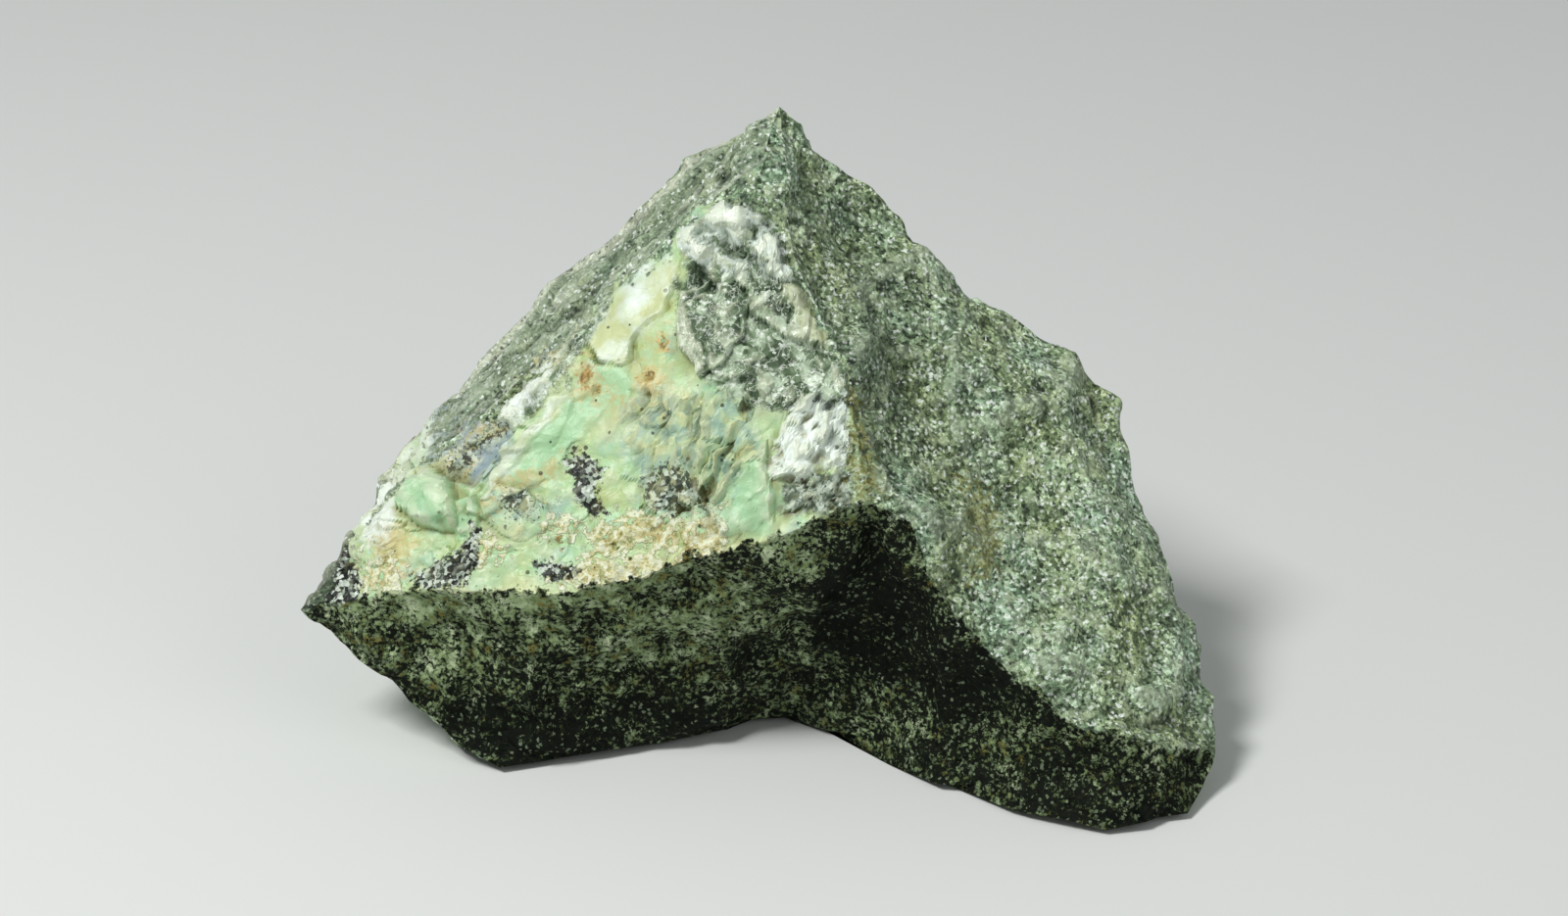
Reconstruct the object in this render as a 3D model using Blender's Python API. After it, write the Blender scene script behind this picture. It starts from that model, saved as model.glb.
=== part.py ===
"""Garnierite specimen: one broken block of grey-green peridotite with a vein of apple-green garnierite.

The block is a leaning pyramid. Its edges are drawn as ridge lines, its broken faces are spanned between
them, and the relief of each face (chips, ledges, flakes, the vein's lumps) is then raised on the face.
Frame: x to the right, y to the back, z up, origin under the middle of the block on the resting face.
"""

import bpy
import bmesh
import numpy as np

MM = 0.001

# Corners of the block, in millimetres.
TIP = (-61.0, -15.0, 20.0)
APEX = (3.0, 8.0, 83.0)
KNEE = (14.0, -26.0, 41.0)
HEEL_TOP = (60.5, -28.0, 5.5)
FOOT_LEFT = (-34.5, -25.0, 1.0)
NOTCH = (8.5, -14.5, 1.2)
FOOT_RIGHT = (56.5, -37.0, 1.0)
BACK_FOOT = (-4.0, 40.5, 1.0)

# Ridge lines between the corners, in millimetres.
LEFT_CREST = [
    TIP, (-57.0, -7.0, 22.0), (-56.5, -4.0, 24.5), (-52.5, 1.0, 27.5), (-52.0, 3.0, 30.5),
    (-46.0, 6.0, 36.0), (-41.0, 8.0, 40.5), (-37.0, 9.0, 46.5), (-31.0, 10.0, 52.5),
    (-29.0, 11.0, 56.0), (-24.5, 11.0, 59.0), (-17.5, 11.0, 65.5), (-11.5, 11.0, 71.5),
    (-9.5, 11.0, 74.0), (-2.5, 10.0, 77.5), APEX,
]
VEIN_TOP = [
    TIP, (-55.0, -11.0, 24.5), (-54.0, -9.0, 27.5), (-50.0, -8.0, 32.0), (-47.5, -7.5, 35.0),
    (-42.5, -6.5, 40.0), (-35.5, -5.5, 45.5), (-30.5, -5.0, 50.0), (-22.0, -4.0, 56.5),
    (-17.0, -2.5, 62.5), (-10.5, -1.0, 69.0), (-4.5, 0.0, 74.0), (0.5, 0.5, 78.0), APEX,
]
CENTRAL_RIDGE = [
    KNEE, (13.5, -22.5, 46.0), (12.0, -18.5, 51.5), (11.5, -15.5, 56.0), (9.0, -12.0, 60.5),
    (6.5, -9.0, 64.5), (4.5, -6.0, 69.0), (3.0, -3.0, 72.5), (4.0, 0.0, 76.0), (3.5, 4.0, 79.5), APEX,
]
VEIN_LOWER = [
    TIP, (-53.5, -18.0, 22.5), (-48.5, -20.0, 24.5), (-41.0, -22.5, 26.5), (-33.0, -25.0, 27.5),
    (-27.5, -26.5, 28.0), (-21.0, -27.0, 29.5), (-14.5, -27.5, 31.0), (-9.0, -27.5, 33.5),
    (-3.5, -27.5, 35.0), (3.0, -27.5, 37.0), (8.5, -27.0, 39.5), KNEE,
]
RIM = [
    KNEE, (19.5, -25.0, 37.5), (22.0, -26.5, 32.5), (25.5, -28.0, 26.5), (29.5, -29.5, 21.5),
    (33.5, -31.0, 18.0), (37.5, -32.5, 16.0), (43.0, -35.0, 12.5), (47.0, -35.0, 12.5),
    (51.0, -34.5, 10.5), (55.5, -33.0, 8.0), HEEL_TOP,
]
RIGHT_CREST = [
    HEEL_TOP, (61.0, -22.0, 10.0), (59.5, -19.0, 11.5), (59.0, -14.0, 16.5), (57.0, -12.0, 18.0),
    (56.0, -9.0, 21.5), (53.5, -6.0, 25.5), (51.5, -3.0, 29.5), (50.0, 0.0, 34.5), (49.0, 3.0, 38.5),
    (49.5, 5.0, 41.5), (46.0, 6.5, 43.5), (43.5, 8.0, 47.0), (38.5, 8.5, 48.5), (34.0, 9.0, 52.5),
    (28.5, 9.5, 54.5), (26.5, 10.0, 57.5), (20.0, 10.5, 63.0), (16.5, 11.0, 69.0),
    (12.0, 11.0, 72.0), (7.5, 10.0, 75.5), (5.5, 9.0, 80.5), APEX,
]
KEEL = [
    FOOT_LEFT, (-36.5, -24.0, 1.6), (-39.5, -23.0, 3.0), (-43.5, -21.0, 6.5), (-46.5, -20.0, 8.0),
    (-49.5, -18.5, 11.5), (-53.0, -17.5, 12.5), (-57.5, -15.5, 16.5), TIP,
]
CREASE = [NOTCH, (12.0, -16.5, 10.0), (14.5, -19.0, 20.5), (15.5, -22.5, 31.5), KNEE]
HEEL = [FOOT_RIGHT, (58.5, -33.0, 2.0), (60.0, -30.0, 3.5), HEEL_TOP]
BACK_RIDGE = [BACK_FOOT, (-2.0, 39.0, 14.0), (1.0, 32.0, 36.0), (2.0, 22.0, 60.0), (2.5, 12.0, 78.0), APEX]
BASE_LEFT = [
    FOOT_LEFT, (-28.0, -23.0, 1.0), (-21.0, -21.5, 1.6), (-12.5, -18.0, 0.9), (-6.5, -16.0, 1.5),
    (-1.5, -12.0, 1.0), (4.5, -11.5, 1.5), NOTCH,
]
BASE_RIGHT = [
    NOTCH, (14.5, -17.5, 1.4), (19.0, -23.5, 0.9), (24.0, -29.5, 1.0), (29.0, -30.5, 1.6),
    (33.0, -35.5, 0.9), (35.5, -37.0, 1.0), (40.5, -39.5, 1.5), (45.5, -41.0, 0.8),
    (51.0, -40.0, 1.5), (52.5, -38.0, 1.0), FOOT_RIGHT,
]
BASE_BACK_RIGHT = [
    FOOT_RIGHT, (58.0, -22.0, 1.5), (57.0, -6.0, 0.9), (51.0, 12.0, 1.6), (40.0, 27.0, 0.9),
    (22.0, 37.0, 1.7), BACK_FOOT,
]
BASE_BACK_LEFT = [
    BACK_FOOT, (-20.0, 38.0, 1.6), (-33.0, 26.0, 0.9), (-41.0, 9.0, 1.7), (-43.5, -8.0, 1.0),
    (-40.5, -20.0, 1.4), FOOT_LEFT,
]

# Raised pieces of the vein, as outlines in front elevation (x, z), each with its height and edge width.
PLATE = [
    (-23.0, 55.5), (-21.0, 54.5), (-18.0, 54.5), (-16.5, 55.0), (-16.0, 57.0), (-13.0, 59.5),
    (-10.5, 62.5), (-10.0, 65.5), (-13.0, 64.5), (-16.5, 62.0), (-20.0, 59.0),
]
SLAB = [
    (-16.0, 57.0), (-13.0, 59.5), (-10.5, 62.0), (-8.0, 60.0), (-6.0, 55.5), (-5.0, 53.0),
    (-9.5, 51.0), (-14.5, 51.0), (-15.0, 53.0),
]
MINT_SLAB = [
    (-38.5, 36.5), (-35.5, 39.5), (-31.5, 44.5), (-26.5, 48.5), (-22.5, 53.5), (-17.0, 54.5),
    (-16.0, 51.0), (-22.5, 46.0), (-26.0, 41.0), (-30.0, 38.5), (-35.5, 34.5), (-38.0, 34.5),
]
TRIANGLE_UPPER = [(-5.0, 47.5), (-1.5, 44.5), (-5.5, 40.0)]
TRIANGLE_LOWER = [(-6.5, 40.5), (1.0, 47.5), (2.5, 37.0), (-5.0, 36.5)]
RAISED = (
    (PLATE, 2.1, 1.2), (SLAB, 0.9, 1.2), (MINT_SLAB, 1.3, 1.4),
    (TRIANGLE_UPPER, 0.9, 1.2), (TRIANGLE_LOWER, 1.2, 1.4),
)

# Rounded lumps of the vein: centre in front elevation, half widths, height. The first is the big nodule.
LUMPS = (
    ((-43.5, 34.0), (4.0, 3.6), 3.0), ((-39.0, 34.0), (2.2, 2.0), 1.2),
    ((-52.5, 28.5), (4.0, 3.0), 1.1), ((-50.5, 30.5), (2.4, 2.0), 0.9),
    ((-3.5, 70.5), (4.0, 2.6), 1.8), ((-8.5, 67.0), (2.4, 2.4), 1.3),
    ((1.5, 67.0), (3.0, 4.0), 1.4), ((-1.5, 64.5), (2.4, 2.0), 0.9),
    ((7.0, 46.0), (5.5, 6.5), 1.5), ((-31.0, 48.0), (4.0, 1.6), 0.8),
)

# Where the vein is broken into overlapping flakes, and where it is rippled.
FLAKED = [
    (-10.0, 63.5), (-1.5, 65.0), (3.5, 71.0), (7.5, 61.5), (12.5, 53.0), (11.0, 49.0),
    (2.0, 51.0), (-4.0, 52.5), (-7.5, 58.0),
]
RIPPLED = [
    (-16.5, 50.5), (-9.5, 52.0), (-1.5, 52.5), (0.5, 47.5), (-4.0, 40.0), (-10.5, 38.0),
    (-15.5, 38.5), (-17.0, 44.5),
]

# Steps in the grey flank, in front elevation from top to bottom, with height and reach.
SCARPS = (
    ([(28.0, 56.0), (25.0, 52.5), (24.5, 48.5), (26.0, 44.0)], 1.6, 12.0),
    ([(15.0, 49.5), (18.0, 44.5), (22.0, 39.5), (24.0, 36.5)], 1.2, 8.0),
)

# Grid steps along the lines and up the faces.
STEPS_LONG = 44
STEPS_RIDGE = 32
STEPS_RIM = 28
STEPS_WALL = 14
STEPS_STRIP = 6

JAG_FADE = 5.0
EDGE_FADE = 4.0
BACK_FADE = 10.0
RESTING_INSET = 0.28

STONE_GREY_GREEN = (0.17, 0.215, 0.155, 1.0)
STONE_ROUGHNESS = 0.75


def along(line, steps):
    """Points at even spacing along a broken line."""
    points = np.array(line, float)
    reach = np.r_[0.0, np.cumsum(np.linalg.norm(np.diff(points, axis=0), axis=1))]
    at = np.linspace(0.0, reach[-1], steps + 1)
    return np.stack([np.interp(at, reach, points[:, k]) for k in range(3)], axis=1)


def swept(line, waves=4):
    """The line's broad sweep: its chord and the longest few waves of its departure from that chord."""
    t = np.linspace(0.0, 1.0, len(line))
    chord = np.outer(1 - t, line[0]) + np.outer(t, line[-1])
    modes = np.sin(np.pi * np.outer(t, np.arange(1, waves + 1)))
    return chord + modes @ (2 / (len(line) - 1) * modes.T @ (line - chord))


def spanned(bottom, top, left, right):
    """A face between four lines: a Coons patch over their broad sweeps, with each line's own jags near it only."""
    u = np.linspace(0.0, 1.0, len(bottom))[None, :, None]
    v = np.linspace(0.0, 1.0, len(left))[:, None, None]
    sweeps = [swept(line) for line in (bottom, top, left, right)]
    ruled_up = (1 - v) * sweeps[0][None] + v * sweeps[1][None]
    ruled_across = (1 - u) * sweeps[2][:, None] + u * sweeps[3][:, None]
    corners = (
        (1 - u) * (1 - v) * bottom[0] + u * (1 - v) * bottom[-1]
        + (1 - u) * v * top[0] + u * v * top[-1]
    )
    jags = (
        (1 - v) ** JAG_FADE * (bottom - sweeps[0])[None] + v ** JAG_FADE * (top - sweeps[1])[None]
        + (1 - u) ** JAG_FADE * (left - sweeps[2])[:, None] + u ** JAG_FADE * (right - sweeps[3])[:, None]
    )
    return ruled_up + ruled_across - corners + jags


def eased(value):
    """A smooth step from 0 to 1."""
    t = np.clip(value, 0.0, 1.0)
    return t * t * (3 - 2 * t)


def hashed(cells, seed):
    """A repeatable number from 0 to 1 for every whole-numbered cell."""
    n = cells.astype(np.int64)
    h = n[..., 0] * 374761393 + n[..., 1] * 668265263 + n[..., 2] * 1442695041 + seed * 1274126177
    h = (h ^ (h >> 13)) * 1274126177
    return ((h ^ (h >> 16)) & 0xFFFFFF) / 0xFFFFFF


def noise(points, size, seed):
    """Smooth noise from -1 to 1 with lumps of the given size."""
    scaled = points / size
    cell = np.floor(scaled)
    part = eased(scaled - cell)
    total = np.zeros(points.shape[:-1])
    for corner in np.ndindex(2, 2, 2):
        weight = np.prod(np.where(np.array(corner) == 1, part, 1 - part), axis=-1)
        total += weight * hashed(cell + corner, seed)
    return 2 * total - 1


def scoops(points, size, seed):
    """Shell-shaped hollows that meet in sharp crests: the lowest of a set of tilted bowls, one to a cell."""
    scaled = points / size
    cell = np.floor(scaled)
    lowest = np.full(points.shape[:-1], 9.0)
    for step in np.ndindex(3, 3, 3):
        home = cell + np.array(step) - 1
        middle = home + np.stack([hashed(home, seed + k) for k in range(3)], axis=-1)
        tilt = np.stack([hashed(home, seed + 3 + k) for k in range(3)], axis=-1) - 0.5
        away = scaled - middle
        bowl = (away ** 2).sum(axis=-1) + 0.7 * (away * tilt).sum(axis=-1) + 0.3 * hashed(home, seed + 6)
        lowest = np.minimum(lowest, bowl)
    return lowest - 0.35


def inside(x, z, outline):
    """Distance into a closed outline in front elevation, negative outside it."""
    nearest = np.full(x.shape, 1e9)
    crossings = np.zeros(x.shape, bool)
    for (ax, az), (bx, bz) in zip(outline, outline[1:] + outline[:1]):
        run_x, run_z = bx - ax, bz - az
        t = np.clip(((x - ax) * run_x + (z - az) * run_z) / (run_x ** 2 + run_z ** 2), 0, 1)
        nearest = np.minimum(nearest, np.hypot(x - ax - t * run_x, z - az - t * run_z))
        spans = (az > z) != (bz > z)
        crossings ^= spans & (x < ax + (z - az) * run_x / (run_z if run_z else 1e-9))
    return np.where(crossings, nearest, -nearest)


def shelves(along_step, width):
    """Overlapping shelves: each rises slowly and drops at its far edge."""
    t = along_step / width
    t = t - np.floor(t)
    return np.where(t < 0.75, t / 0.75, (1 - t) / 0.25)


def scarp(points, line, height, reach):
    """A step along a line down the face, raised on its right and dying out with distance."""
    levels = np.array([z for x, z in line])
    line_x = np.interp(-points[..., 2], -levels, [x for x, z in line])
    right = points[..., 0] - line_x
    ends = eased((levels[0] + 3 - points[..., 2]) / 4) * eased((points[..., 2] - levels[-1] + 3) / 4)
    return height * eased(right / 3.0 + 0.5) * np.exp(-np.maximum(right, 0) / reach) * ends


def vein_relief(points):
    """Plates, lumps, flakes and ripples of the vein."""
    x, z = points[..., 0], points[..., 2]
    height = 0.5 * noise(points, 9.0, 11) + 1.6 * scoops(points, 7.0, 12)
    for outline, rise, edge in RAISED:
        height = height + rise * eased(inside(x, z, outline) / edge + 0.5)
    for (cx, cz), (half_x, half_z), rise in LUMPS:
        off = ((x - cx) / half_x) ** 2 + ((z - cz) / half_z) ** 2
        height = height + rise * np.sqrt(np.clip(1 - off, 0, 1))
    flaked = eased(inside(x, z, FLAKED) / 3 + 0.5)
    height = height + flaked * 4.5 * scoops(points, 5.5, 20)
    rippled = eased(inside(x, z, RIPPLED) / 3 + 0.5)
    bent = 0.94 * x - 0.34 * z + 1.6 * noise(points, 5.0, 31)
    return height + rippled * 0.9 * (shelves(bent, 3.4) - 0.5)


def relief(face, points):
    """Height of a face above its spanned form, in millimetres."""
    x, z = points[..., 0], points[..., 2]
    if face == "vein":
        return vein_relief(points)
    if face == "strip":
        bent = 0.79 * x - 0.61 * z + 0.8 * noise(points, 7.0, 41)
        return 0.9 * (shelves(bent, 2.9) - 0.5) + 1.8 * scoops(points, 8.0, 42)
    if face in ("wall", "lobe"):
        return 4.0 * scoops(points, 15.0, 51) + 1.6 * scoops(points, 6.0, 52)
    height = 5.5 * scoops(points, 17.0, 61) + 2.2 * scoops(points, 7.0, 62)
    if face == "flank":
        for line, rise, reach in SCARPS:
            height = height + scarp(points, line, rise, reach)
    return height


def edge_distance(grid):
    """Distance of every grid point from the nearest border of its face, measured along the grid."""
    reaches = []
    for axis in (0, 1):
        steps = np.linalg.norm(np.diff(grid, axis=axis), axis=2)
        pad = [(1, 0), (0, 0)] if axis == 0 else [(0, 0), (1, 0)]
        run = np.pad(np.cumsum(steps, axis=axis), pad)
        reaches += [run, run.max(axis=axis, keepdims=True) - run]
    return np.minimum.reduce(reaches)


def broken(face, grid):
    """The face with its relief raised along its own normals, fading to nothing at its edges."""
    across = np.gradient(grid, axis=1)
    up = np.gradient(grid, axis=0)
    normal = np.cross(across, up)
    normal /= np.maximum(np.linalg.norm(normal, axis=2, keepdims=True), 1e-9)
    fade = BACK_FADE if face.startswith("back") else EDGE_FADE
    height = relief(face, grid) * eased(edge_distance(grid) / fade)
    return grid + normal * height[..., None]


def ragged(points):
    """Points nudged by noise so that no edge runs straight, less and less towards the ground."""
    nudge = np.stack([
        0.5 * noise(points, 5.0, 71 + k) + 0.3 * noise(points, 2.4, 81 + k) for k in range(3)
    ], axis=-1)
    return points + nudge * eased(points[..., 2:] / 8)


def block_faces():
    """The faces of the block by name: rows of points from bottom to top, left to right as seen from outside."""
    crest = along(LEFT_CREST, STEPS_LONG)
    vein_top = along(VEIN_TOP, STEPS_LONG)
    vein_lower = along(VEIN_LOWER, STEPS_LONG)
    base_left = along(BASE_LEFT, STEPS_LONG)
    base_back_left = along(BASE_BACK_LEFT, STEPS_LONG)
    ridge = along(CENTRAL_RIDGE, STEPS_RIDGE)
    right_crest = along(RIGHT_CREST, STEPS_RIDGE)
    base_back_right = along(BASE_BACK_RIGHT, STEPS_RIDGE)
    rim = along(RIM, STEPS_RIM)
    base_right = along(BASE_RIGHT, STEPS_RIM)
    keel = along(KEEL, STEPS_WALL)
    crease = along(CREASE, STEPS_WALL)
    heel = along(HEEL, STEPS_WALL)
    back_ridge = along(BACK_RIDGE, STEPS_WALL)
    tip = np.array(TIP, float)
    apex = np.array(APEX, float)
    return {
        "strip": spanned(
            vein_top, crest, np.tile(tip, (STEPS_STRIP + 1, 1)), np.tile(apex, (STEPS_STRIP + 1, 1))
        ),
        "vein": spanned(vein_lower, vein_top, np.tile(tip, (STEPS_RIDGE + 1, 1)), ridge),
        "flank": spanned(rim, np.tile(apex, (STEPS_RIM + 1, 1)), ridge, right_crest),
        "wall": spanned(base_left, vein_lower, keel, crease),
        "lobe": spanned(base_right, rim, crease, heel),
        "back_right": spanned(base_back_right, right_crest, heel, back_ridge),
        "back_left": spanned(base_back_left, crest[::-1], back_ridge, keel),
    }


def resting_rim():
    """The block's outline at the bottom, running round from the left foot."""
    lines = [
        along(BASE_LEFT, STEPS_LONG), along(BASE_RIGHT, STEPS_RIM),
        along(BASE_BACK_RIGHT, STEPS_RIDGE), along(BASE_BACK_LEFT, STEPS_LONG),
    ]
    return np.vstack([line[:-1] for line in lines])


def build():
    mesh = bpy.data.meshes.new("garnierite_specimen")
    form = bmesh.new()
    for name, grid in block_faces().items():
        rows, columns = grid.shape[:2]
        grid = ragged(broken(name, grid))
        corners = [[form.verts.new(point * MM) for point in row] for row in grid]
        for j in range(rows - 1):
            for i in range(columns - 1):
                form.faces.new((corners[j][i], corners[j][i + 1], corners[j + 1][i + 1], corners[j + 1][i]))
    outer = resting_rim()
    middle = outer.mean(axis=0)
    rings = [ragged(outer)]
    for inset, level in ((0.4 * RESTING_INSET, 0.55), (RESTING_INSET, 0.0)):
        ring = outer + (middle - outer) * inset
        ring[:, 2] = level * outer[:, 2]
        rings.append(ring)
    rings = [[form.verts.new(point * MM) for point in ring] for ring in rings]
    for below, above in zip(rings[1:], rings):
        for i in range(len(above)):
            j = (i + 1) % len(above)
            form.faces.new((above[j], above[i], below[i], below[j]))
    form.faces.new(rings[-1][::-1])
    bmesh.ops.remove_doubles(form, verts=form.verts, dist=1e-6)
    bmesh.ops.dissolve_degenerate(form, edges=form.edges, dist=1e-6)
    form.to_mesh(mesh)
    form.free()
    stone = bpy.data.materials.new("weathered_peridotite")
    stone.use_nodes = True
    shader = stone.node_tree.nodes["Principled BSDF"]
    shader.inputs["Base Color"].default_value = STONE_GREY_GREEN
    shader.inputs["Roughness"].default_value = STONE_ROUGHNESS
    mesh.materials.append(stone)
    return bpy.data.objects.new("garnierite_specimen", mesh)


def main():
    for item in list(bpy.data.objects):
        bpy.data.objects.remove(item)
    bpy.context.scene.collection.objects.link(build())


main()
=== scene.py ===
"""Looks of the garnierite specimen: the fine broken surface of the stone, its minerals, and a plain stage.

The stone is one closed surface. Each of its broken faces is spanned between ridge lines as a function of
two parameters, and the chips, flakes, lumps and grains of the face are then raised along its normals.
Lengths in this file are millimetres until a mesh is made, and metres in the panel's settings.
x is right, y is back and z is up.
"""

import math

import bpy
import numpy as np
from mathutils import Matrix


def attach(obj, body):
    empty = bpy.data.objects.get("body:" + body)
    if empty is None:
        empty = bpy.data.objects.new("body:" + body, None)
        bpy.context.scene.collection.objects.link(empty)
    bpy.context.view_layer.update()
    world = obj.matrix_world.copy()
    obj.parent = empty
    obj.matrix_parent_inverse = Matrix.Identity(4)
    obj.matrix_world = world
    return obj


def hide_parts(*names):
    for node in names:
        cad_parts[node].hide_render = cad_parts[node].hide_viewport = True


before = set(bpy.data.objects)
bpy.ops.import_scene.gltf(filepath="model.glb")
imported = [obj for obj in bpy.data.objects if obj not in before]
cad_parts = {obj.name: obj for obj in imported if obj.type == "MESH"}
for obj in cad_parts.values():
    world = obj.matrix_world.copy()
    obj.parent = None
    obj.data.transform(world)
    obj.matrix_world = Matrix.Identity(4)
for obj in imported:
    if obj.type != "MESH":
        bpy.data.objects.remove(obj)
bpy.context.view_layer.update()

bl_info = {
    "name": "Garnierite specimen",
    "version": (1, 0, 0),
    "blender": (4, 5, 0),
    "location": "3D View > Sidebar > Specimen",
    "description": "Builds a hand specimen of peridotite with a garnierite vein, and a plain stage",
    "category": "Add Mesh",
}

MM = 0.001
NODE = "garnierite_specimen"

# Corners of the block.
TIP = (-61, -15, 20)
APEX = (3, 8, 83)
KNEE = (14, -26, 41)
HEEL_TOP = (60.5, -28, 5.5)
FOOT_LEFT = (-34.5, -25, 1)
NOTCH = (8.5, -14.5, 1.2)
FOOT_RIGHT = (56.5, -37, 1)
BACK_FOOT = (-4, 40.5, 1)

# Ridge lines between the corners.
LEFT_CREST = [
    TIP, (-57, -7, 22), (-56.5, -4, 24.5), (-52.5, 1, 27.5), (-52, 3, 30.5), (-46, 6, 36), (-41, 8, 40.5),
    (-37, 9, 46.5), (-31, 10, 52.5), (-29, 11, 56), (-24.5, 11, 59), (-17.5, 11, 65.5), (-11.5, 11, 71.5),
    (-9.5, 11, 74), (-2.5, 10, 77.5), APEX,
]
VEIN_TOP = [
    TIP, (-55, -11, 24.5), (-54, -9, 27.5), (-50, -8, 32), (-47.5, -7.5, 35), (-42.5, -6.5, 40),
    (-35.5, -5.5, 45.5), (-30.5, -5, 50), (-22, -4, 56.5), (-17, -2.5, 62.5), (-10.5, -1, 69),
    (-4.5, 0, 74), (0.5, 0.5, 78), APEX,
]
CENTRAL_RIDGE = [
    KNEE, (13.5, -22.5, 46), (12, -18.5, 51.5), (11.5, -15.5, 56), (9, -12, 60.5), (6.5, -9, 64.5),
    (4.5, -6, 69), (3, -3, 72.5), (4, 0, 76), (3.5, 4, 79.5), APEX,
]
VEIN_LOWER = [
    TIP, (-53.5, -18, 22.5), (-48.5, -20, 24.5), (-41, -22.5, 26.5), (-33, -25, 27.5), (-27.5, -26.5, 28),
    (-21, -27, 29.5), (-14.5, -27.5, 31), (-9, -27.5, 33.5), (-3.5, -27.5, 35), (3, -27.5, 37),
    (8.5, -27, 39.5), KNEE,
]
RIM = [
    KNEE, (19.5, -25, 37.5), (22, -26.5, 32.5), (25.5, -28, 26.5), (29.5, -29.5, 21.5), (33.5, -31, 18),
    (37.5, -32.5, 16), (43, -35, 12.5), (47, -35, 12.5), (51, -34.5, 10.5), (55.5, -33, 8), HEEL_TOP,
]
RIGHT_CREST = [
    HEEL_TOP, (61, -22, 10), (59.5, -19, 11.5), (59, -14, 16.5), (57, -12, 18), (56, -9, 21.5),
    (53.5, -6, 25.5), (51.5, -3, 29.5), (50, 0, 34.5), (49, 3, 38.5), (49.5, 5, 41.5), (46, 6.5, 43.5),
    (43.5, 8, 47), (38.5, 8.5, 48.5), (34, 9, 52.5), (28.5, 9.5, 54.5), (26.5, 10, 57.5), (20, 10.5, 63),
    (16.5, 11, 69), (12, 11, 72), (7.5, 10, 75.5), (5.5, 9, 80.5), APEX,
]
KEEL = [
    FOOT_LEFT, (-36.5, -24, 1.6), (-39.5, -23, 3), (-43.5, -21, 6.5), (-46.5, -20, 8), (-49.5, -18.5, 11.5),
    (-53, -17.5, 12.5), (-57.5, -15.5, 16.5), TIP,
]
CREASE = [NOTCH, (12, -16.5, 10), (14.5, -19, 20.5), (15.5, -22.5, 31.5), KNEE]
HEEL = [FOOT_RIGHT, (58.5, -33, 2), (60, -30, 3.5), HEEL_TOP]
BACK_RIDGE = [BACK_FOOT, (-2, 39, 14), (1, 32, 36), (2, 22, 60), (2.5, 12, 78), APEX]
BASE_LEFT = [
    FOOT_LEFT, (-28, -23, 1), (-21, -21.5, 1.6), (-12.5, -18, 0.9), (-6.5, -16, 1.5), (-1.5, -12, 1),
    (4.5, -11.5, 1.5), NOTCH,
]
BASE_RIGHT = [
    NOTCH, (14.5, -17.5, 1.4), (19, -23.5, 0.9), (24, -29.5, 1), (29, -30.5, 1.6), (33, -35.5, 0.9),
    (35.5, -37, 1), (40.5, -39.5, 1.5), (45.5, -41, 0.8), (51, -40, 1.5), (52.5, -38, 1), FOOT_RIGHT,
]
BASE_BACK_RIGHT = [
    FOOT_RIGHT, (58, -22, 1.5), (57, -6, 0.9), (51, 12, 1.6), (40, 27, 0.9), (22, 37, 1.7), BACK_FOOT,
]
BASE_BACK_LEFT = [
    BACK_FOOT, (-20, 38, 1.6), (-33, 26, 0.9), (-41, 9, 1.7), (-43.5, -8, 1), (-40.5, -20, 1.4), FOOT_LEFT,
]

# Pieces of the vein, as outlines in front elevation (x, z).
PLATE = [
    (-23, 55), (-21, 58), (-16, 63), (-12, 66), (-10.3, 65), (-11.2, 62.2), (-12.4, 60.3), (-14.5, 58.3),
    (-16.5, 56), (-17.2, 54.2), (-20.5, 53.8),
]
SLAB = [
    (-16, 57), (-13, 59.5), (-10.5, 62), (-8, 60), (-6, 55.5), (-5, 53), (-9.5, 51), (-14.5, 51), (-15, 53),
]
MINT_SLAB = [
    (-37.8, 36), (-34.3, 39), (-30.6, 43.6), (-26, 48), (-22, 53), (-17, 54.5), (-16, 51), (-22.5, 46),
    (-26, 41), (-30, 38.5), (-35.5, 34.5), (-38, 34.5),
]
MINT_FACET = [
    (-33.5, 42), (-31.5, 44.5), (-27.5, 48.5), (-24.5, 49.5), (-25.5, 46.5), (-27, 44), (-30, 42.5),
    (-32.5, 41),
]
PALE_FACET = [(-23.5, 49.5), (-17, 51.5), (-15.5, 48.5), (-21, 44.5), (-26.5, 44)]
SMALL_NODULE = [(-40, 35.5), (-37, 36.8), (-36.5, 35), (-37.5, 33), (-39.5, 32), (-40.5, 32.5)]
ROD = [(-34.5, 44.5), (-33.5, 47), (-29.5, 50.5), (-27.5, 51.3), (-28.5, 49), (-33, 44.6)]
LENS = [
    (-41.5, 37.5), (-40, 40), (-36.5, 42.8), (-33.5, 45), (-32.5, 44), (-33.5, 42), (-36, 39),
    (-38.5, 37.5),
]
TRIANGLE_UPPER = [(-5, 47.5), (-1.5, 44.5), (-5.5, 40)]
TRIANGLE_LOWER = [(-6.5, 40.5), (1, 47.5), (2.5, 37), (-5, 36.5)]
PRISM = [(-6.5, 52.5), (-4, 53), (-2.5, 50), (-5, 43.5), (-8, 41), (-7.5, 46)]
LEDGE = [(-36.3, 36), (-33, 40.7), (-27.7, 47.7), (-25, 50), (-24.5, 49), (-31.3, 40.8), (-34.8, 36.5)]
GREY_SCALE = [
    (-10.5, 63), (-7.5, 65), (-0.5, 65.5), (-1.5, 61), (-4, 55.5), (-7, 54.3), (-9.3, 57), (-10, 60),
]
PALE_SCALE = [(-3.5, 65.5), (2, 68), (7.5, 61.5), (6, 58.5), (3.5, 59.5), (-0.5, 62)]
NODULE_FACET = [(-44.8, 35), (-43, 37), (-41, 37), (-39.5, 35.5), (-41.5, 32.3), (-44.2, 32.8)]
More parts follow.
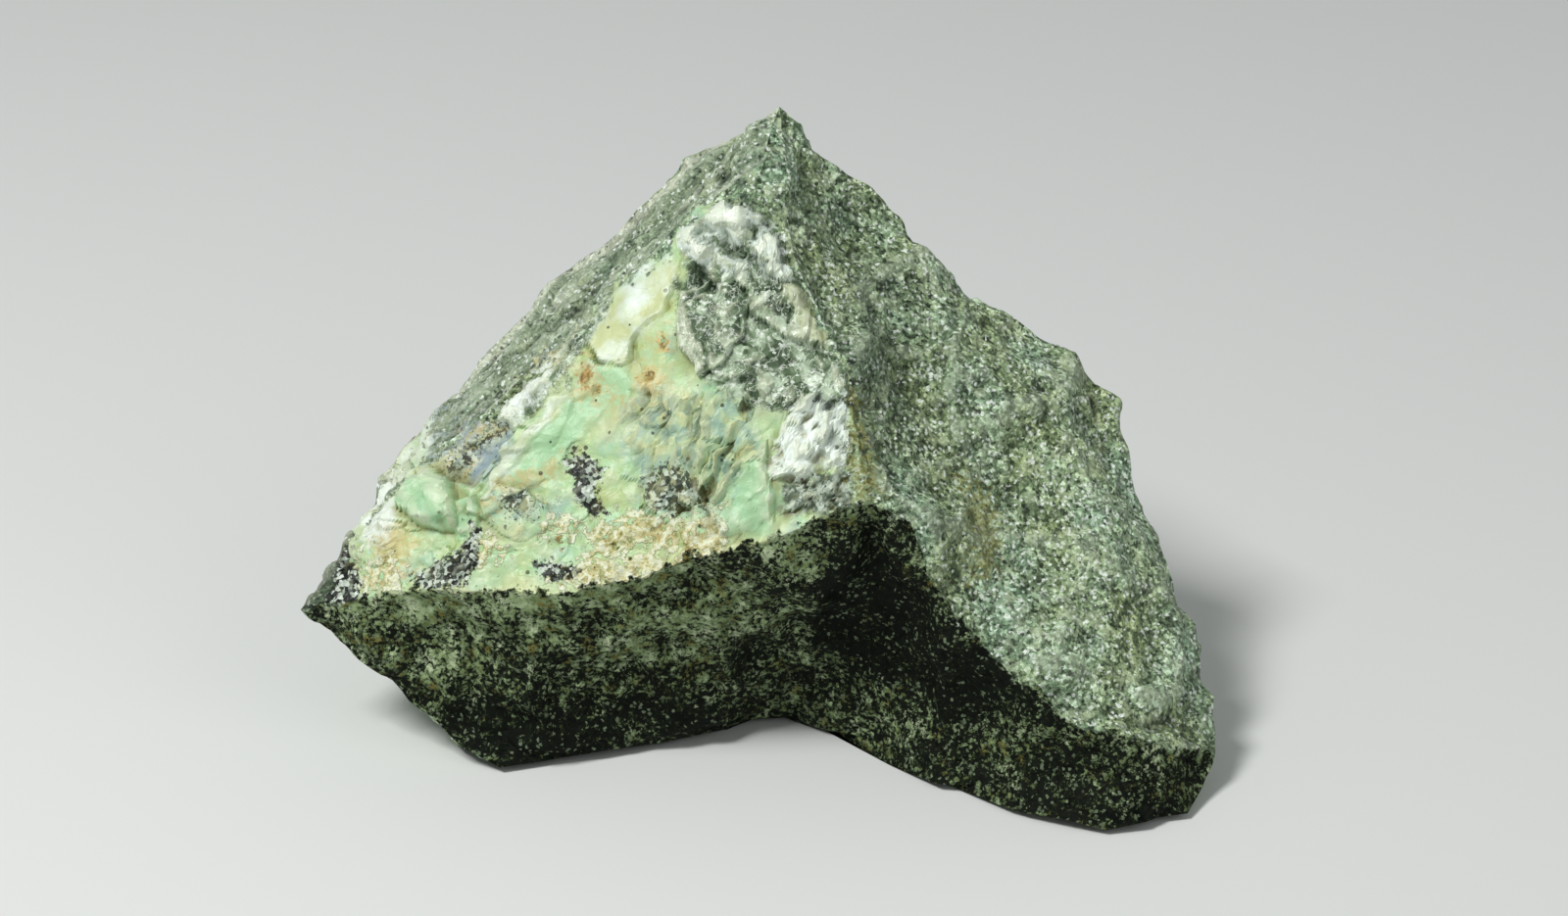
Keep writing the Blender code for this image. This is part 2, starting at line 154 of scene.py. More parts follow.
FACETS = (
    (PLATE, 0.8, (0.02, -0.05), 0.3), (SLAB, 0.4, (0.02, 0.04), 0.35),
    (MINT_SLAB, 0.75, (-0.15, 0.12), 0.35), (MINT_FACET, 0.5, (-0.16, 0.04), 0.4),
    (PALE_FACET, 0.1, (0.12, -0.06), 0.5), (SMALL_NODULE, 1, (-0.15, 0.2), 0.5), (ROD, 1, (-0.1, 0), 0.7),
    (LENS, -1, (0, 0.15), 0.8), (TRIANGLE_UPPER, 1, (-0.22, 0), 0.45),
    (TRIANGLE_LOWER, 1.3, (-0.1, 0.06), 0.5), (PRISM, 1, (-0.22, 0), 0.45), (LEDGE, 0.3, (-0.05, 0), 0.3),
    (GREY_SCALE, 1.1, (-0.1, -0.05), 0.35), (PALE_SCALE, 0.9, (-0.05, -0.08), 0.35),
    (NODULE_FACET, 0.3, (0.1, 0.12), 0.4),
)
QUARTZ = (
    ([(-6.5, 69), (-6.5, 71), (-3.5, 73), (-1.5, 72.5), (-1, 70.5), (-3, 69)], 1.9),
    ([(-10, 66.5), (-9.5, 69), (-7.5, 70), (-5.5, 67.5), (-7.5, 66)], 1.6),
    ([(-1.5, 71.5), (-1, 73), (1.5, 72.5), (1.5, 71)], 1),
    ([(-1.5, 69), (0.5, 70.5), (3, 69.5), (4.5, 66.5), (3.5, 64.5), (1, 65.5)], 1.7),
    ([(-5.5, 67), (-2, 68.2), (-0.5, 66.5), (-2.5, 65.2)], 0.8),
)
YELLOW_QUARTZ = ([(3, 64.5), (5.5, 64.5), (7.5, 62), (9.5, 60), (8.5, 58.5), (6, 59.5)], 1.1)
WHITE_CRYSTAL = (
    [(1.5, 43.8), (2.5, 47.5), (4.5, 51), (7, 53.5), (9.5, 52), (9.3, 48.5), (8, 45.5), (5, 43)], 1.5,
)
GREY_CRYSTAL = ([(7.5, 48), (9, 50.5), (11, 52.5), (12, 48), (12, 45), (8.5, 45)], 1)
DARK_CRYSTAL = ([(3, 42.5), (5.5, 44.5), (12, 44.5), (12.5, 41), (8.5, 39.5), (3.5, 39)], 0.3)
ANGULAR = QUARTZ + (YELLOW_QUARTZ, WHITE_CRYSTAL, GREY_CRYSTAL, DARK_CRYSTAL)
FLAKED = [
    (-10.5, 63), (-9.5, 67), (-6, 71.5), (0, 73.5), (3.5, 71), (8, 61.5), (12, 54), (11, 50.5), (2, 51),
    (-3, 51.5), (-7, 54.3), (-9.3, 57), (-10, 60),
]
RIPPLED = [
    (-16.5, 50.5), (-9.5, 52), (-1.5, 52.5), (0.5, 47.5), (-4, 40), (-10.5, 38), (-15.5, 38.5), (-17, 44.5),
]
VEIN_AREA = [
    (-57, 20), (-56.5, 25.5), (-54, 28.5), (-50.5, 31.5), (-46.5, 36), (-42, 39.5), (-38.5, 42.5),
    (-34.5, 45.6), (-33, 47.2), (-28.5, 51.2), (-26, 53.3), (-22.5, 56.3), (-17, 62.3), (-12, 66.5),
    (-9.5, 69), (-6.5, 72), (0, 73.5), (3, 70), (5, 65.5), (8.5, 60.5), (10.6, 55), (11.6, 50),
    (12.2, 44.5), (13, 38), (0, 20),
]
WHITE_LEFT = [
    (-54.5, 27), (-51.5, 31), (-46, 36.5), (-42, 39.5), (-42, 38), (-47, 34.5), (-48, 30), (-51.5, 28),
]
BLACK_TIP = [(-64, 20), (-57.5, 25.5), (-54.5, 26.5), (-53, 24), (-53, 20), (-56, 14)]
LILAC = [(-39, 38), (-37.8, 40.3), (-34.5, 43.3), (-32.5, 44), (-32, 42.5), (-35, 38.8)]
LENS_RIM = [(-41.5, 38), (-40, 40.2), (-36.5, 42.9), (-33, 45.1), (-33.3, 44.3), (-36.8, 41.9), (-39.8, 39)]
BANDED_VEIN = [
    (-52, 32.5), (-46, 37.5), (-40, 43), (-33, 49), (-26, 55.5), (-23, 56.5), (-24.5, 52.5), (-30, 47),
    (-34.5, 42.5), (-38.5, 37.5), (-41.5, 37.5), (-46, 37.2), (-49, 33.5),
]
SNOWY = [(-53.5, 28.3), (-50.5, 31.5), (-47.5, 32.8), (-47.5, 30.8), (-49.5, 28.8), (-52, 27.3)]
GREY_BAND = [(-45, 37.5), (-39.5, 42), (-35, 46), (-33.5, 46.5), (-36.5, 43.5), (-39.5, 41)]
GREY_SLOPE = [(-31.5, 45), (-27.5, 48.8), (-23, 53), (-20.5, 58), (-23, 56), (-27, 51), (-32, 46)]
TAN_STREAKS = (
    [(-39.5, 41), (-35.5, 45.3), (-29.5, 50.8), (-27.5, 52.2), (-33.5, 47.3), (-37.5, 42.8)],
    [(-36.5, 34.3), (-31, 38.5), (-26.5, 40.5), (-25.5, 43), (-27.5, 41.8), (-32.5, 39)],
)
BLUE_MOUND = [(-36, 35.5), (-34, 37.5), (-29.5, 38), (-27.5, 37), (-28.5, 34.5), (-32.5, 33.5)]
EARTH = (
    [(-38, 31), (-36.5, 32.5), (-34, 33), (-33.5, 31), (-37, 29.5)],
    [(-28, 35), (-25.5, 36.5), (-23.5, 35.5), (-24.5, 33.5)],
    [(-22.5, 35), (-19.5, 36.5), (-14.5, 38), (-9.5, 37.5), (-6, 37), (-9.5, 35), (-15.5, 33.5),
     (-21, 32.5)],
    [(-28, 29.5), (-22, 32), (-12, 33.5), (-4, 35), (-6.5, 32.5), (-17, 30.3), (-22, 29.3)],
    [(-10.5, 36.5), (-5, 39), (-4, 35), (-9.5, 33)], [(-53.5, 24.5), (-49, 27.5), (-47.5, 25.5), (-51, 23)],
)
CREAM = [(-26, 49), (-22.5, 53.5), (-16.5, 55), (-8, 51.5), (-16, 47), (-22, 46)]
PALE_LIP = [
    (-51, 23), (-40.5, 25), (-27.5, 27.5), (-17, 29), (-6.5, 32.5), (2, 36), (4, 39.5), (-6.5, 35),
    (-17, 31), (-27.5, 29), (-40.5, 27),
]
SPECKLED = (
    [(-25, 42.5), (-22.5, 43.5), (-20.5, 42), (-21, 39), (-19.5, 37.5), (-22, 36.5), (-24, 38.5)],
    [(-46.5, 25.8), (-43, 28.8), (-38.8, 31), (-38, 34), (-36.8, 33.3), (-37, 29.5), (-39, 26.8),
     (-45, 25.5)],
    [(-30, 31.2), (-27.5, 31.7), (-23, 30.7), (-24, 29.8), (-28.5, 29.8)],
)
PEPPERED = (
    [(-33.5, 36.8), (-31, 37.8), (-28.8, 37.3), (-29.5, 35.6), (-33, 35.2)],
    [(-15.5, 41.5), (-11, 43.3), (-6.5, 42), (-6, 39.8), (-10.5, 38.6), (-15, 39.3)],
)

# Rounded lumps of the vein: centre in front elevation, half widths, height. The first is the big nodule.
NODULE = ((-43.7, 34.6), (4.3, 3.2), 3.4)
LUMPS = (
    NODULE, ((-52.5, 28), (3.6, 2.4), 1.1), ((-48.8, 32), (2.6, 2), 1), ((-31.8, 35.8), (4.4, 2.4), 1),
    ((-54, 26.8), (1.6, 1.4), 0.8), ((-12.5, 41.8), (2.2, 1.3), 0.5),
)
# Pits and stains of the vein: centre and reach.
RUST_PITS = (
    (-12.3, 57.3, 0.5), (-14.3, 53.2, 0.5), (-22.3, 51.6, 0.6), (-21, 50.3, 0.4), (-26.5, 33.5, 0.3),
)
RUST_STAINS = ((-12.3, 57, 1.2), (-14, 52.8, 1.6), (-21.8, 51, 2), (-48.3, 28.6, 2.4), (-18.6, 50, 0.8))
CAVITIES = ((-3.6, 68.4, 1.4), (-8, 65, 0.9))

# Tone of the grey flank, as outline, softness and change. The first patch darkens the steep upper flank by the
# central ridge as painted shade, and the fourth lightens the lower right that faces up as painted light; the
# others are the rock's own tone.
FLANK_TONES_AND_SHADING = (
    # Painted shade: darker where the upper flank by the central ridge is steep.
    ([(5.5, 76), (10, 72), (20.5, 61), (24.5, 50.5), (20, 42.5), (16.5, 44.5), (13.5, 54.5), (8.5, 62)],
     6, -0.35),
    ([(8.5, 60.5), (12, 58.5), (15.5, 52), (16, 45), (14.5, 40), (10, 43), (11.5, 53)], 2, -0.55),
    ([(20, 43), (27, 47), (33, 30), (28, 22), (22, 33)], 5, -0.2),
    # Painted light: lighter where the lower right faces up.
    ([(35, 45), (50, 40), (54, 26), (40, 30)], 6, 0.2),
    ([(52.5, 17.5), (56, 18), (59, 13), (56, 12.5), (53.5, 14.5)], 1.5, 0.7),
    ([(57, 18), (62, 14), (62, 5), (57.5, 7), (56.5, 13)], 2, -0.45),
)
OLIVE_STAINS = (
    [(26.5, 39), (29.5, 38), (32, 34), (31, 28.5), (28.5, 28), (27.5, 33)],
    [(10, 54), (12.3, 52), (14, 47), (16, 41.5), (12.5, 41.5), (11.5, 46)],
)
# Share of pale crust on the dark walls, the same way. The last three lower it at the bottom and under the
# lobe's rim, a darkening that is partly painted shade.
WALL_CRUST_AND_SHADE = (
    ([(0, 36), (8, 40), (16, 40), (19, 34), (10, 31), (2, 31)], 3, 0.3),
    ([(-60, 21), (-50, 27), (-27, 30), (-9, 36), (-9, 30), (-27, 26), (-48, 21)], 3, 0.42),
    ([(-58, 19), (-52.5, 22.5), (-32.5, 26.5), (-30, 19), (-40, 12), (-49, 11.5)], 6, 0.3),
    ([(-32.5, 26.5), (-9.5, 31), (2, 35), (2.5, 22), (-6, 14), (-17.5, 13), (-30, 19)], 7, 0.3),
    # These three thin the crust at the bottom of the walls and under the lobe's rim: partly painted shade.
    ([(-44, 8.5), (-30.5, 12), (-9.5, 7.5), (-2, 5), (-7, 0), (-34.5, 0)], 5, -0.22),
    ([(7.5, 37.5), (16, 38.5), (28, 24.5), (35.5, 17.5), (40.5, 13), (24.5, 9.5), (8, 16)], 5, -0.34),
    ([(35.5, 9), (43, 9.5), (57, 6), (55.5, 0), (44.5, 0), (37, 2)], 3, -0.16),
)

# Steps in the grey flank: line from top to bottom, height, reach.
SCARPS = (
    ([(28, 56), (25, 52.5), (24.5, 48.5), (26, 44)], 1, 12),
    ([(15, 49.5), (18, 44.5), (22, 39.5), (24, 36.5)], 0.8, 8),
)

# Outlines of the vein's minerals.
AREAS = {
    "vein": (VEIN_AREA,), "mint": (MINT_SLAB, TRIANGLE_LOWER, TRIANGLE_UPPER, SMALL_NODULE, PRISM),
    "cream": (CREAM, PALE_LIP), "pale": (PLATE, WHITE_LEFT, ROD, LEDGE), "lilac": (LILAC, GREY_BAND),
    "bluish": (RIPPLED, BLUE_MOUND), "flakes": (FLAKED, GREY_SLOPE), "tan": TAN_STREAKS, "earth": EARTH,
    "quartz": [outline for outline, _ in QUARTZ] + [GREY_CRYSTAL[0]], "yellow_quartz": (YELLOW_QUARTZ[0],),
    "dark_crystal": (DARK_CRYSTAL[0],), "layered": (BANDED_VEIN,), "speckled": SPECKLED + (BLACK_TIP,),
    "peppered": PEPPERED + (LENS_RIM,), "snowy": (SNOWY, ROD), "white": (WHITE_CRYSTAL[0],),
}
# Kinds of surface on the vein: outlines and the softness of their edges.
HABITS = (
    ("flat", (PLATE, SLAB, MINT_SLAB), 1.5), ("quartz", [outline for outline, _ in ANGULAR[:-3]], 1.0),
    ("flaked", (FLAKED,), 2.0), ("rippled", (RIPPLED,), 2.0), ("crumbly", EARTH, 1.5),
    ("grainy", SPECKLED, 1.0), ("crystals", [outline for outline, _ in ANGULAR[-3:]], 1.5),
)

# How fast the jags of an edge die out across a face, as a power.
JAG_FADE = 5.0
# How far from an edge the coarse relief, the back's coarse relief and the fine relief are at full height.
EDGE_FADE = 4.0
BACK_FADE = 10.0
FINE_FADE = 0.7
# Share on the hidden back, against the front, of the paler crests and darker hollows: rubbed paler crests with
# a painted highlight, and dirt with painted shade in the hollows.
BACK_WEAR_AND_SHADING = 0.4
# How far in from the outline the stone rests on the ground, as a share of the way to its middle.
RESTING_INSET = 0.28
# Distances are held within this much of a mineral's border.
OUTSIDE = 4.0
# Width of the pale rim of the left crest, where the dark left tip starts, and the crust away from the walls.
CREST_RIM = 2.4
DARK_TIP_X = -52.5
PLAIN_CRUST = 0.3
LUMP_ROUNDNESS = 0.38
CREASE_ANGLE = math.radians(30)
# Patterns drawn out along a slope: turn about the y axis, and how much longer they are along x and z.
STREAKS = (math.radians(-49), 11.0, 1.0)
RIPPLES = (math.radians(17), 1.0, 2.6)

# Stage: where the camera looks, and each light's way from there, distance, size and share of the power.
TARGET = (3.5, -14.0, 41.75)
LIGHTS = {"key": ((-0.55, -0.45, 1.0), 900.0, 240.0, 1.0), "fill": ((1.0, -0.8, 0.7), 1000.0, 700.0, 0.22)}
SKY_STRENGTH = 0.38
FLOOR_DROP = 0.05
SENSOR_WIDTH = 36.0
NEAR_CLIP = 10.0


def linear(code):
    """An sRGB hex colour as linear red, green and blue."""
    parts = [int(code[k:k + 2], 16) / 255 for k in (1, 3, 5)]
    return tuple(p / 12.92 if p <= 0.04045 else ((p + 0.055) / 1.055) ** 2.4 for p in parts)


def rgba(code):
    """The same with full opacity, for a colour socket."""
    return (*linear(code), 1.0)


def along(line, steps):
    """Points at even spacing along a broken line."""
    points = np.array(line, float)
    reach = np.r_[0.0, np.cumsum(np.linalg.norm(np.diff(points, axis=0), axis=1))]
    at = np.linspace(0.0, reach[-1], steps + 1)
    return np.stack([np.interp(at, reach, points[:, k]) for k in range(3)], axis=1)


def swept(line, waves=4):
    """The line's broad sweep: its chord and the longest few sine waves of its departure from that chord."""
    t = np.linspace(0.0, 1.0, len(line))
    chord = np.outer(1 - t, line[0]) + np.outer(t, line[-1])
    modes = np.sin(np.pi * np.outer(t, np.arange(1, waves + 1)))
    return chord + modes @ (2 / (len(line) - 1) * modes.T @ (line - chord))


def spanned(bottom, top, left, right):
    """A Coons patch over the four lines' broad sweeps, plus each line's own jags times (1 - distance)^5."""
    u = np.linspace(0.0, 1.0, len(bottom))[None, :, None]
    v = np.linspace(0.0, 1.0, len(left))[:, None, None]
    sweeps = [swept(line) for line in (bottom, top, left, right)]
    ruled_up = (1 - v) * sweeps[0][None] + v * sweeps[1][None]
    ruled_across = (1 - u) * sweeps[2][:, None] + u * sweeps[3][:, None]
    corners = (
        (1 - u) * (1 - v) * bottom[0] + u * (1 - v) * bottom[-1]
        + (1 - u) * v * top[0] + u * v * top[-1]
    )
    jags = (
        (1 - v) ** JAG_FADE * (bottom - sweeps[0])[None] + v ** JAG_FADE * (top - sweeps[1])[None]
        + (1 - u) ** JAG_FADE * (left - sweeps[2])[:, None] + u ** JAG_FADE * (right - sweeps[3])[:, None]
    )
    return ruled_up + ruled_across - corners + jags


def eased(value):
    """3t^2 - 2t^3 of the value held between 0 and 1."""
    t = np.clip(value, 0.0, 1.0)
    return t * t * (3 - 2 * t)


def hashed(cells, seed):
    """A repeatable number from 0 to 1 for every whole-numbered cell."""
    n = cells.astype(np.int64)
    h = n[..., 0] * 374761393 + n[..., 1] * 668265263 + n[..., 2] * 1442695041 + seed * 1274126177
    h = (h ^ (h >> 13)) * 1274126177
    return ((h ^ (h >> 16)) & 0xFFFFFF) / 0xFFFFFF


def noise(points, size, seed):
    """Hashed values at the corners of a cubic lattice, blended by the eased distance: -1 to 1."""
    scaled = points / size
    cell = np.floor(scaled)
    part = eased(scaled - cell)
    total = np.zeros(points.shape[:-1])
    for corner in np.ndindex(2, 2, 2):
        weight = np.prod(np.where(np.array(corner) == 1, part, 1 - part), axis=-1)
        total += weight * hashed(cell + corner, seed)
    return 2 * total - 1


def neighbours(points, size, seed):
    """For each of the 27 cells round a point: the way to the cell's own point, its tilt and its level."""
    scaled = points / size
    cell = np.floor(scaled)
    for step in np.ndindex(3, 3, 3):
        home = cell + np.array(step) - 1
        middle = home + np.stack([hashed(home, seed + k) for k in range(3)], axis=-1)
        tilt = np.stack([hashed(home, seed + 3 + k) for k in range(3)], axis=-1) - 0.5
        yield scaled - middle, tilt, hashed(home, seed + 6)


def scoops(points, size, seed):
    """Shell-shaped hollows meeting in crests: the lowest of d^2 + 0.7 d.tilt + 0.3 level over the cells."""
    lowest = np.full(points.shape[:-1], 9.0)
    for away, tilt, level in neighbours(points, size, seed):
        lowest = np.minimum(lowest, (away ** 2).sum(axis=-1) + 0.7 * (away * tilt).sum(axis=-1) + 0.3 * level)
    return lowest - 0.35


def chips(points, size, seed):
    """Flat tilted chips with steps between them: the plane 1.6 d.tilt + level of the nearest cell."""
    nearest = np.full(points.shape[:-1], 9.0)
    height = np.zeros(points.shape[:-1])
    for away, tilt, level in neighbours(points, size, seed):
        gap = (away ** 2).sum(axis=-1)
        plane = 1.6 * (away * tilt).sum(axis=-1) + 0.8 * (level - 0.5)
        height = np.where(gap < nearest, plane, height)
        nearest = np.minimum(nearest, gap)
    return height


def scales(points, size, seed, way, drop=7.0):
    """Overlapping plates rising along a way to a steep far edge: the highest, over the cells, of
    level + 0.6 d.way + 0.5 d.tilt - drop (|d| - 0.8, where positive)."""
    way = np.array(way, float)
    way /= np.linalg.norm(way)
    highest = np.full(points.shape[:-1], -9.0)
    for away, tilt, level in neighbours(points, size, seed):
        beyond = np.maximum(np.linalg.norm(away, axis=-1) - 0.65 - 0.3 * level, 0)
        plate = 0.8 * level + 0.6 * away @ way + 0.5 * (away * tilt).sum(axis=-1) - drop * beyond
        highest = np.maximum(highest, plate)
    return highest - 0.8


def inside(x, z, outline):
    """Distance into a closed outline in front elevation, negative outside it."""
    nearest = np.full(x.shape, 1e9)
    crossings = np.zeros(x.shape, bool)
    for (ax, az), (bx, bz) in zip(outline, outline[1:] + outline[:1]):
        run_x, run_z = bx - ax, bz - az
        t = np.clip(((x - ax) * run_x + (z - az) * run_z) / (run_x ** 2 + run_z ** 2), 0, 1)
        nearest = np.minimum(nearest, np.hypot(x - ax - t * run_x, z - az - t * run_z))
        spans = (az > z) != (bz > z)
        crossings ^= spans & (x < ax + (z - az) * run_x / (run_z if run_z else 1e-9))
    return np.where(crossings, nearest, -nearest)


def within(x, z, lump):
    """Distance into a lump's ellipse, near enough: (1 - radius) times its mean half width."""
    (cx, cz), (half_x, half_z), _ = lump
    return (1 - np.hypot((x - cx) / half_x, (z - cz) / half_z)) * (half_x + half_z) / 2


def near(x, z, spots):
    """Distance into the nearest of some round spots."""
    return np.maximum.reduce([r - np.hypot(x - cx, z - cz) for cx, cz, r in spots])


def stretched(points, direction, factor):
    """Points drawn together along a direction, so that a pattern read from them is that much longer there."""
    way = np.array(direction, float)
    way /= np.linalg.norm(way)
    return points - (points @ way)[..., None] * way * (1 - 1 / factor)


def scarp(points, line, height, reach):
    """A step along a line down the face, raised on its right and dying out with distance."""
    levels = np.array([z for x, z in line])
    line_x = np.interp(-points[..., 2], -levels, [x for x, z in line])
    right = points[..., 0] - line_x + 1.2 * noise(points, 2.5, 91)
    ends = eased((levels[0] + 3 - points[..., 2]) / 4) * eased((points[..., 2] - levels[-1] + 3) / 4)
    return height * eased(right / 0.9 + 0.5) * np.exp(-np.maximum(right, 0) / reach) * ends


def wavering(points):
    """Points pushed about by up to half a millimetre, so that outlines read at them aren't straight."""
    return points + 0.5 * np.stack([noise(points, 2.2, 13 + k) for k in range(3)], axis=-1)


def into(x, z, outlines):
    """Distance into the nearest of some outlines, negative outside them all."""
    return np.maximum.reduce([inside(x, z, outline) for outline in outlines])


def share(depth, soft):
    """From 0 outside an area to 1 inside it, eased over a softness at its edge."""
    return eased(depth / soft + 0.5)


# Relief of the faces, coarse and fine: the kind of surface that shows it, height, pattern, the place it is
# read at, size and seed, and for plates the way they rise and how steeply they drop.
DOWN_LEFT, DOWN_RIGHT, ACROSS = (-0.4, 0.0, -0.8), (0.7, 0.0, -0.7), (-1.0, 0.0, 0.3)
VEIN_COARSE = (
    ("all", 0.5, noise, "own", 9.0, 11),
    ("uneven", 1.3, scoops, "own", 6.5, 12), ("uneven", 0.35, chips, "bent", 4.5, 17),
    ("flaked", 1.2, scales, "bent", 5.0, 20, (-0.7, 0.0, -0.5), 12.0),
    ("rippled", 1.0, scales, "ripples", 1.8, 31, ACROSS, 9.0),
)
VEIN_FINE = (
    ("all", 0.08, noise, "own", 2.0, 14),
    ("rough", 0.35, scales, "bent", 2.4, 16, (-0.6, 0.0, -0.6)), ("rough", 0.1, noise, "own", 0.9, 15),
    ("flaked", 0.42, scales, "bent", 2.6, 21, (-0.5, 0.0, -0.8), 10.0),
    ("rippled", 0.3, scales, "ripples", 1.3, 33, ACROSS),
    ("crumbly", 0.5, scoops, "own", 1.6, 23), ("crumbly", 0.35, noise, "own", 0.8, 24),
    ("grainy", 0.25, noise, "own", 0.8, 27), ("quartz", 0.45, chips, "own", 2.8, 28),
    ("crystals", 0.5, noise, "fibres", 0.9, 25), ("crystals", 0.8, chips, "fibres", 1.2, 26),
)
STRIP = (
    (("all", 1.5, scales, "streaks", 2.4, 41, DOWN_RIGHT), ("all", 1.4, scoops, "own", 8.0, 42)),
    (("all", 0.5, scales, "streaks", 1.1, 43, DOWN_RIGHT), ("all", 0.5, scoops, "own", 1.8, 44),
     ("all", 0.12, noise, "own", 0.9, 45)),
)
WALL = (
    (("all", 4.0, scoops, "own", 15.0, 51), ("all", 1.6, scoops, "own", 6.0, 52)),
    (("all", 0.35, scales, "own", 2.6, 53, (-0.3, 0.0, -1.0)), ("all", 0.2, noise, "own", 1.0, 54)),
)
ROCK = (
    (("all", 5.5, scoops, "own", 17.0, 61), ("all", 1.0, scoops, "own", 7.0, 62),
     ("all", 0.7, scales, "own", 7.0, 66, DOWN_LEFT)),
    (("all", 0.3, scales, "own", 2.8, 63, DOWN_LEFT), ("all", 0.22, chips, "own", 1.5, 64),
     ("all", 0.15, noise, "own", 0.9, 65)),
)
BACK = (ROCK[0] + (("all", 1.2, scoops, "own", 8.0, 67), ("all", 0.5, chips, "own", 9.0, 68)), ROCK[1])
RELIEF = {
    "vein": (VEIN_COARSE, VEIN_FINE), "strip": STRIP, "wall": WALL, "lobe": WALL, "flank": ROCK,
    "back_right": BACK, "back_left": BACK,
}


def habits(points):
    """How much each kind of surface shows at points of the vein."""
    x, z = points[..., 0], points[..., 2]
    shows = {name: share(into(x, z, outlines), soft) for name, outlines, soft in HABITS}
    shows["uneven"] = 1 - 0.7 * shows["flat"]
    shows["rough"] = (1 - shows["flat"]) * (1 - 0.6 * shows["rippled"])
    shows["flaked"] = shows["flaked"] * (1 - 0.75 * shows["quartz"])
    return shows


def vein_forms(points, bent, fibres):
    """Height of the vein's own forms: tilted facets, rounded lumps, frayed crystals, hollows and pits.

    A lump is its rise times (1 - r^2)^0.38 at r half widths. A crystal climbs 1.3 times its rise in 1 mm.
    """
    x, z = bent[..., 0], bent[..., 2]
    height = np.zeros(x.shape)
    for outline, rise, (lean_x, lean_z), edge in FACETS:
        middle_x, middle_z = np.mean(outline, axis=0)
        plane = rise + lean_x * (points[..., 0] - middle_x) + lean_z * (points[..., 2] - middle_z)
        height += plane * share(inside(x, z, outline), edge)
    for (middle_x, middle_z), (half_x, half_z), rise in LUMPS:
        off = ((x - middle_x) / half_x) ** 2 + ((z - middle_z) / half_z) ** 2
        height += rise * np.clip(1 - off, 0, 1) ** LUMP_ROUNDNESS
    frayed = 1.2 * noise(fibres, 0.9, 29)
    for outline, rise in ANGULAR:
        height += rise * np.clip(1.3 * inside(x, z, outline) + frayed, 0, 1)
    for spots, depth in ((CAVITIES, 1.3), (RUST_PITS, 0.5)):
        height -= depth * share(near(x, z, spots), 0.8)
    return height


def relief(face, points):
    """Coarse and fine height of a face above its spanned form, in millimetres."""
    bent = wavering(points)
    fibres = stretched(bent, (0.5, -0.2, 0.85), 4.0)
    places = {
        "own": points, "bent": bent, "fibres": fibres, "ripples": stretched(bent, (-0.3, 0.0, -0.95), 2.4),
        "streaks": stretched(points, (0.66, 0.0, 0.75), 8.0),
    }
    shows = {"all": 1.0} | (habits(points) if face == "vein" else {})
    coarse, fine = (
        sum(shows[kind] * height * pattern(places[at], *rest) for kind, height, pattern, at, *rest in terms)
        for terms in RELIEF[face]
    )
    if face == "vein":
        coarse = coarse + vein_forms(points, bent, fibres)
    if face == "flank":
        for line, rise, reach in SCARPS:
            coarse = coarse + scarp(points, line, rise, reach)
    return coarse, fine


def edge_distance(grid):
    """Distance of every grid point from the nearest border of its face, measured along the grid."""
    reaches = []
    for axis in (0, 1):
        steps = np.linalg.norm(np.diff(grid, axis=axis), axis=2)
        pad = [(1, 0), (0, 0)] if axis == 0 else [(0, 0), (1, 0)]
        run = np.pad(np.cumsum(steps, axis=axis), pad)
        reaches += [run, run.max(axis=axis, keepdims=True) - run]
    return np.minimum.reduce(reaches)


def standing_out(height):
    """Height above the mean of eight points 2 and then 5 grid steps away: crests above 0, hollows below."""
    total = np.zeros(height.shape)
    rows, columns = height.shape
    for reach in (2, 5):
        padded = np.pad(height, reach, mode="edge")
        ring = [
            padded[reach + down:reach + down + rows, reach + over:reach + over + columns]
            for down in (-reach, 0, reach) for over in (-reach, 0, reach) if down or over
        ]
        total += height - np.mean(ring, axis=0)
    return total


def broken(face, grid):
    """The face with its relief raised along its own normals, fading to nothing at its edges, and how far each
    point stands out, which paints crests paler, partly rubbing and partly painted highlight, and hollows
    darker, partly dirt and partly painted shade.
    """
    normal = np.cross(np.gradient(grid, axis=1), np.gradient(grid, axis=0))
    normal /= np.maximum(np.linalg.norm(normal, axis=2, keepdims=True), 1e-9)
    distance = edge_distance(grid)
    coarse, fine = relief(face, grid)
    fade, wear_and_shading_share = (BACK_FADE, BACK_WEAR_AND_SHADING) if face.startswith("back") else (EDGE_FADE, 1.0)
    height = coarse * eased(distance / fade) + fine * eased(distance / FINE_FADE)
    # How far each point stands out: crests get a paler colour, partly rubbing and partly painted highlight;
    # hollows a darker one, partly dirt and partly painted shade.
    wear_and_shading_marks = standing_out(height) * wear_and_shading_share
    return grid + normal * height[..., None], np.clip(wear_and_shading_marks, -OUTSIDE, OUTSIDE)


def ragged(points):
    """Points nudged by three sizes of noise so that no edge runs straight, less towards the ground."""
    sizes = ((0.5, 5.0, 71), (0.3, 2.4, 81), (0.16, 1.1, 91))
    nudge = np.stack([
        sum(reach * noise(points, size, seed + k) for reach, size, seed in sizes) for k in range(3)
    ], axis=-1)
    return points + nudge * eased(points[..., 2:] / 8)


def toned(x, z, patches):
    """Sum of the patches' changes, each eased over its softness at its edge."""
    return sum(change * share(inside(x, z, outline), soft) for outline, soft, change in patches)


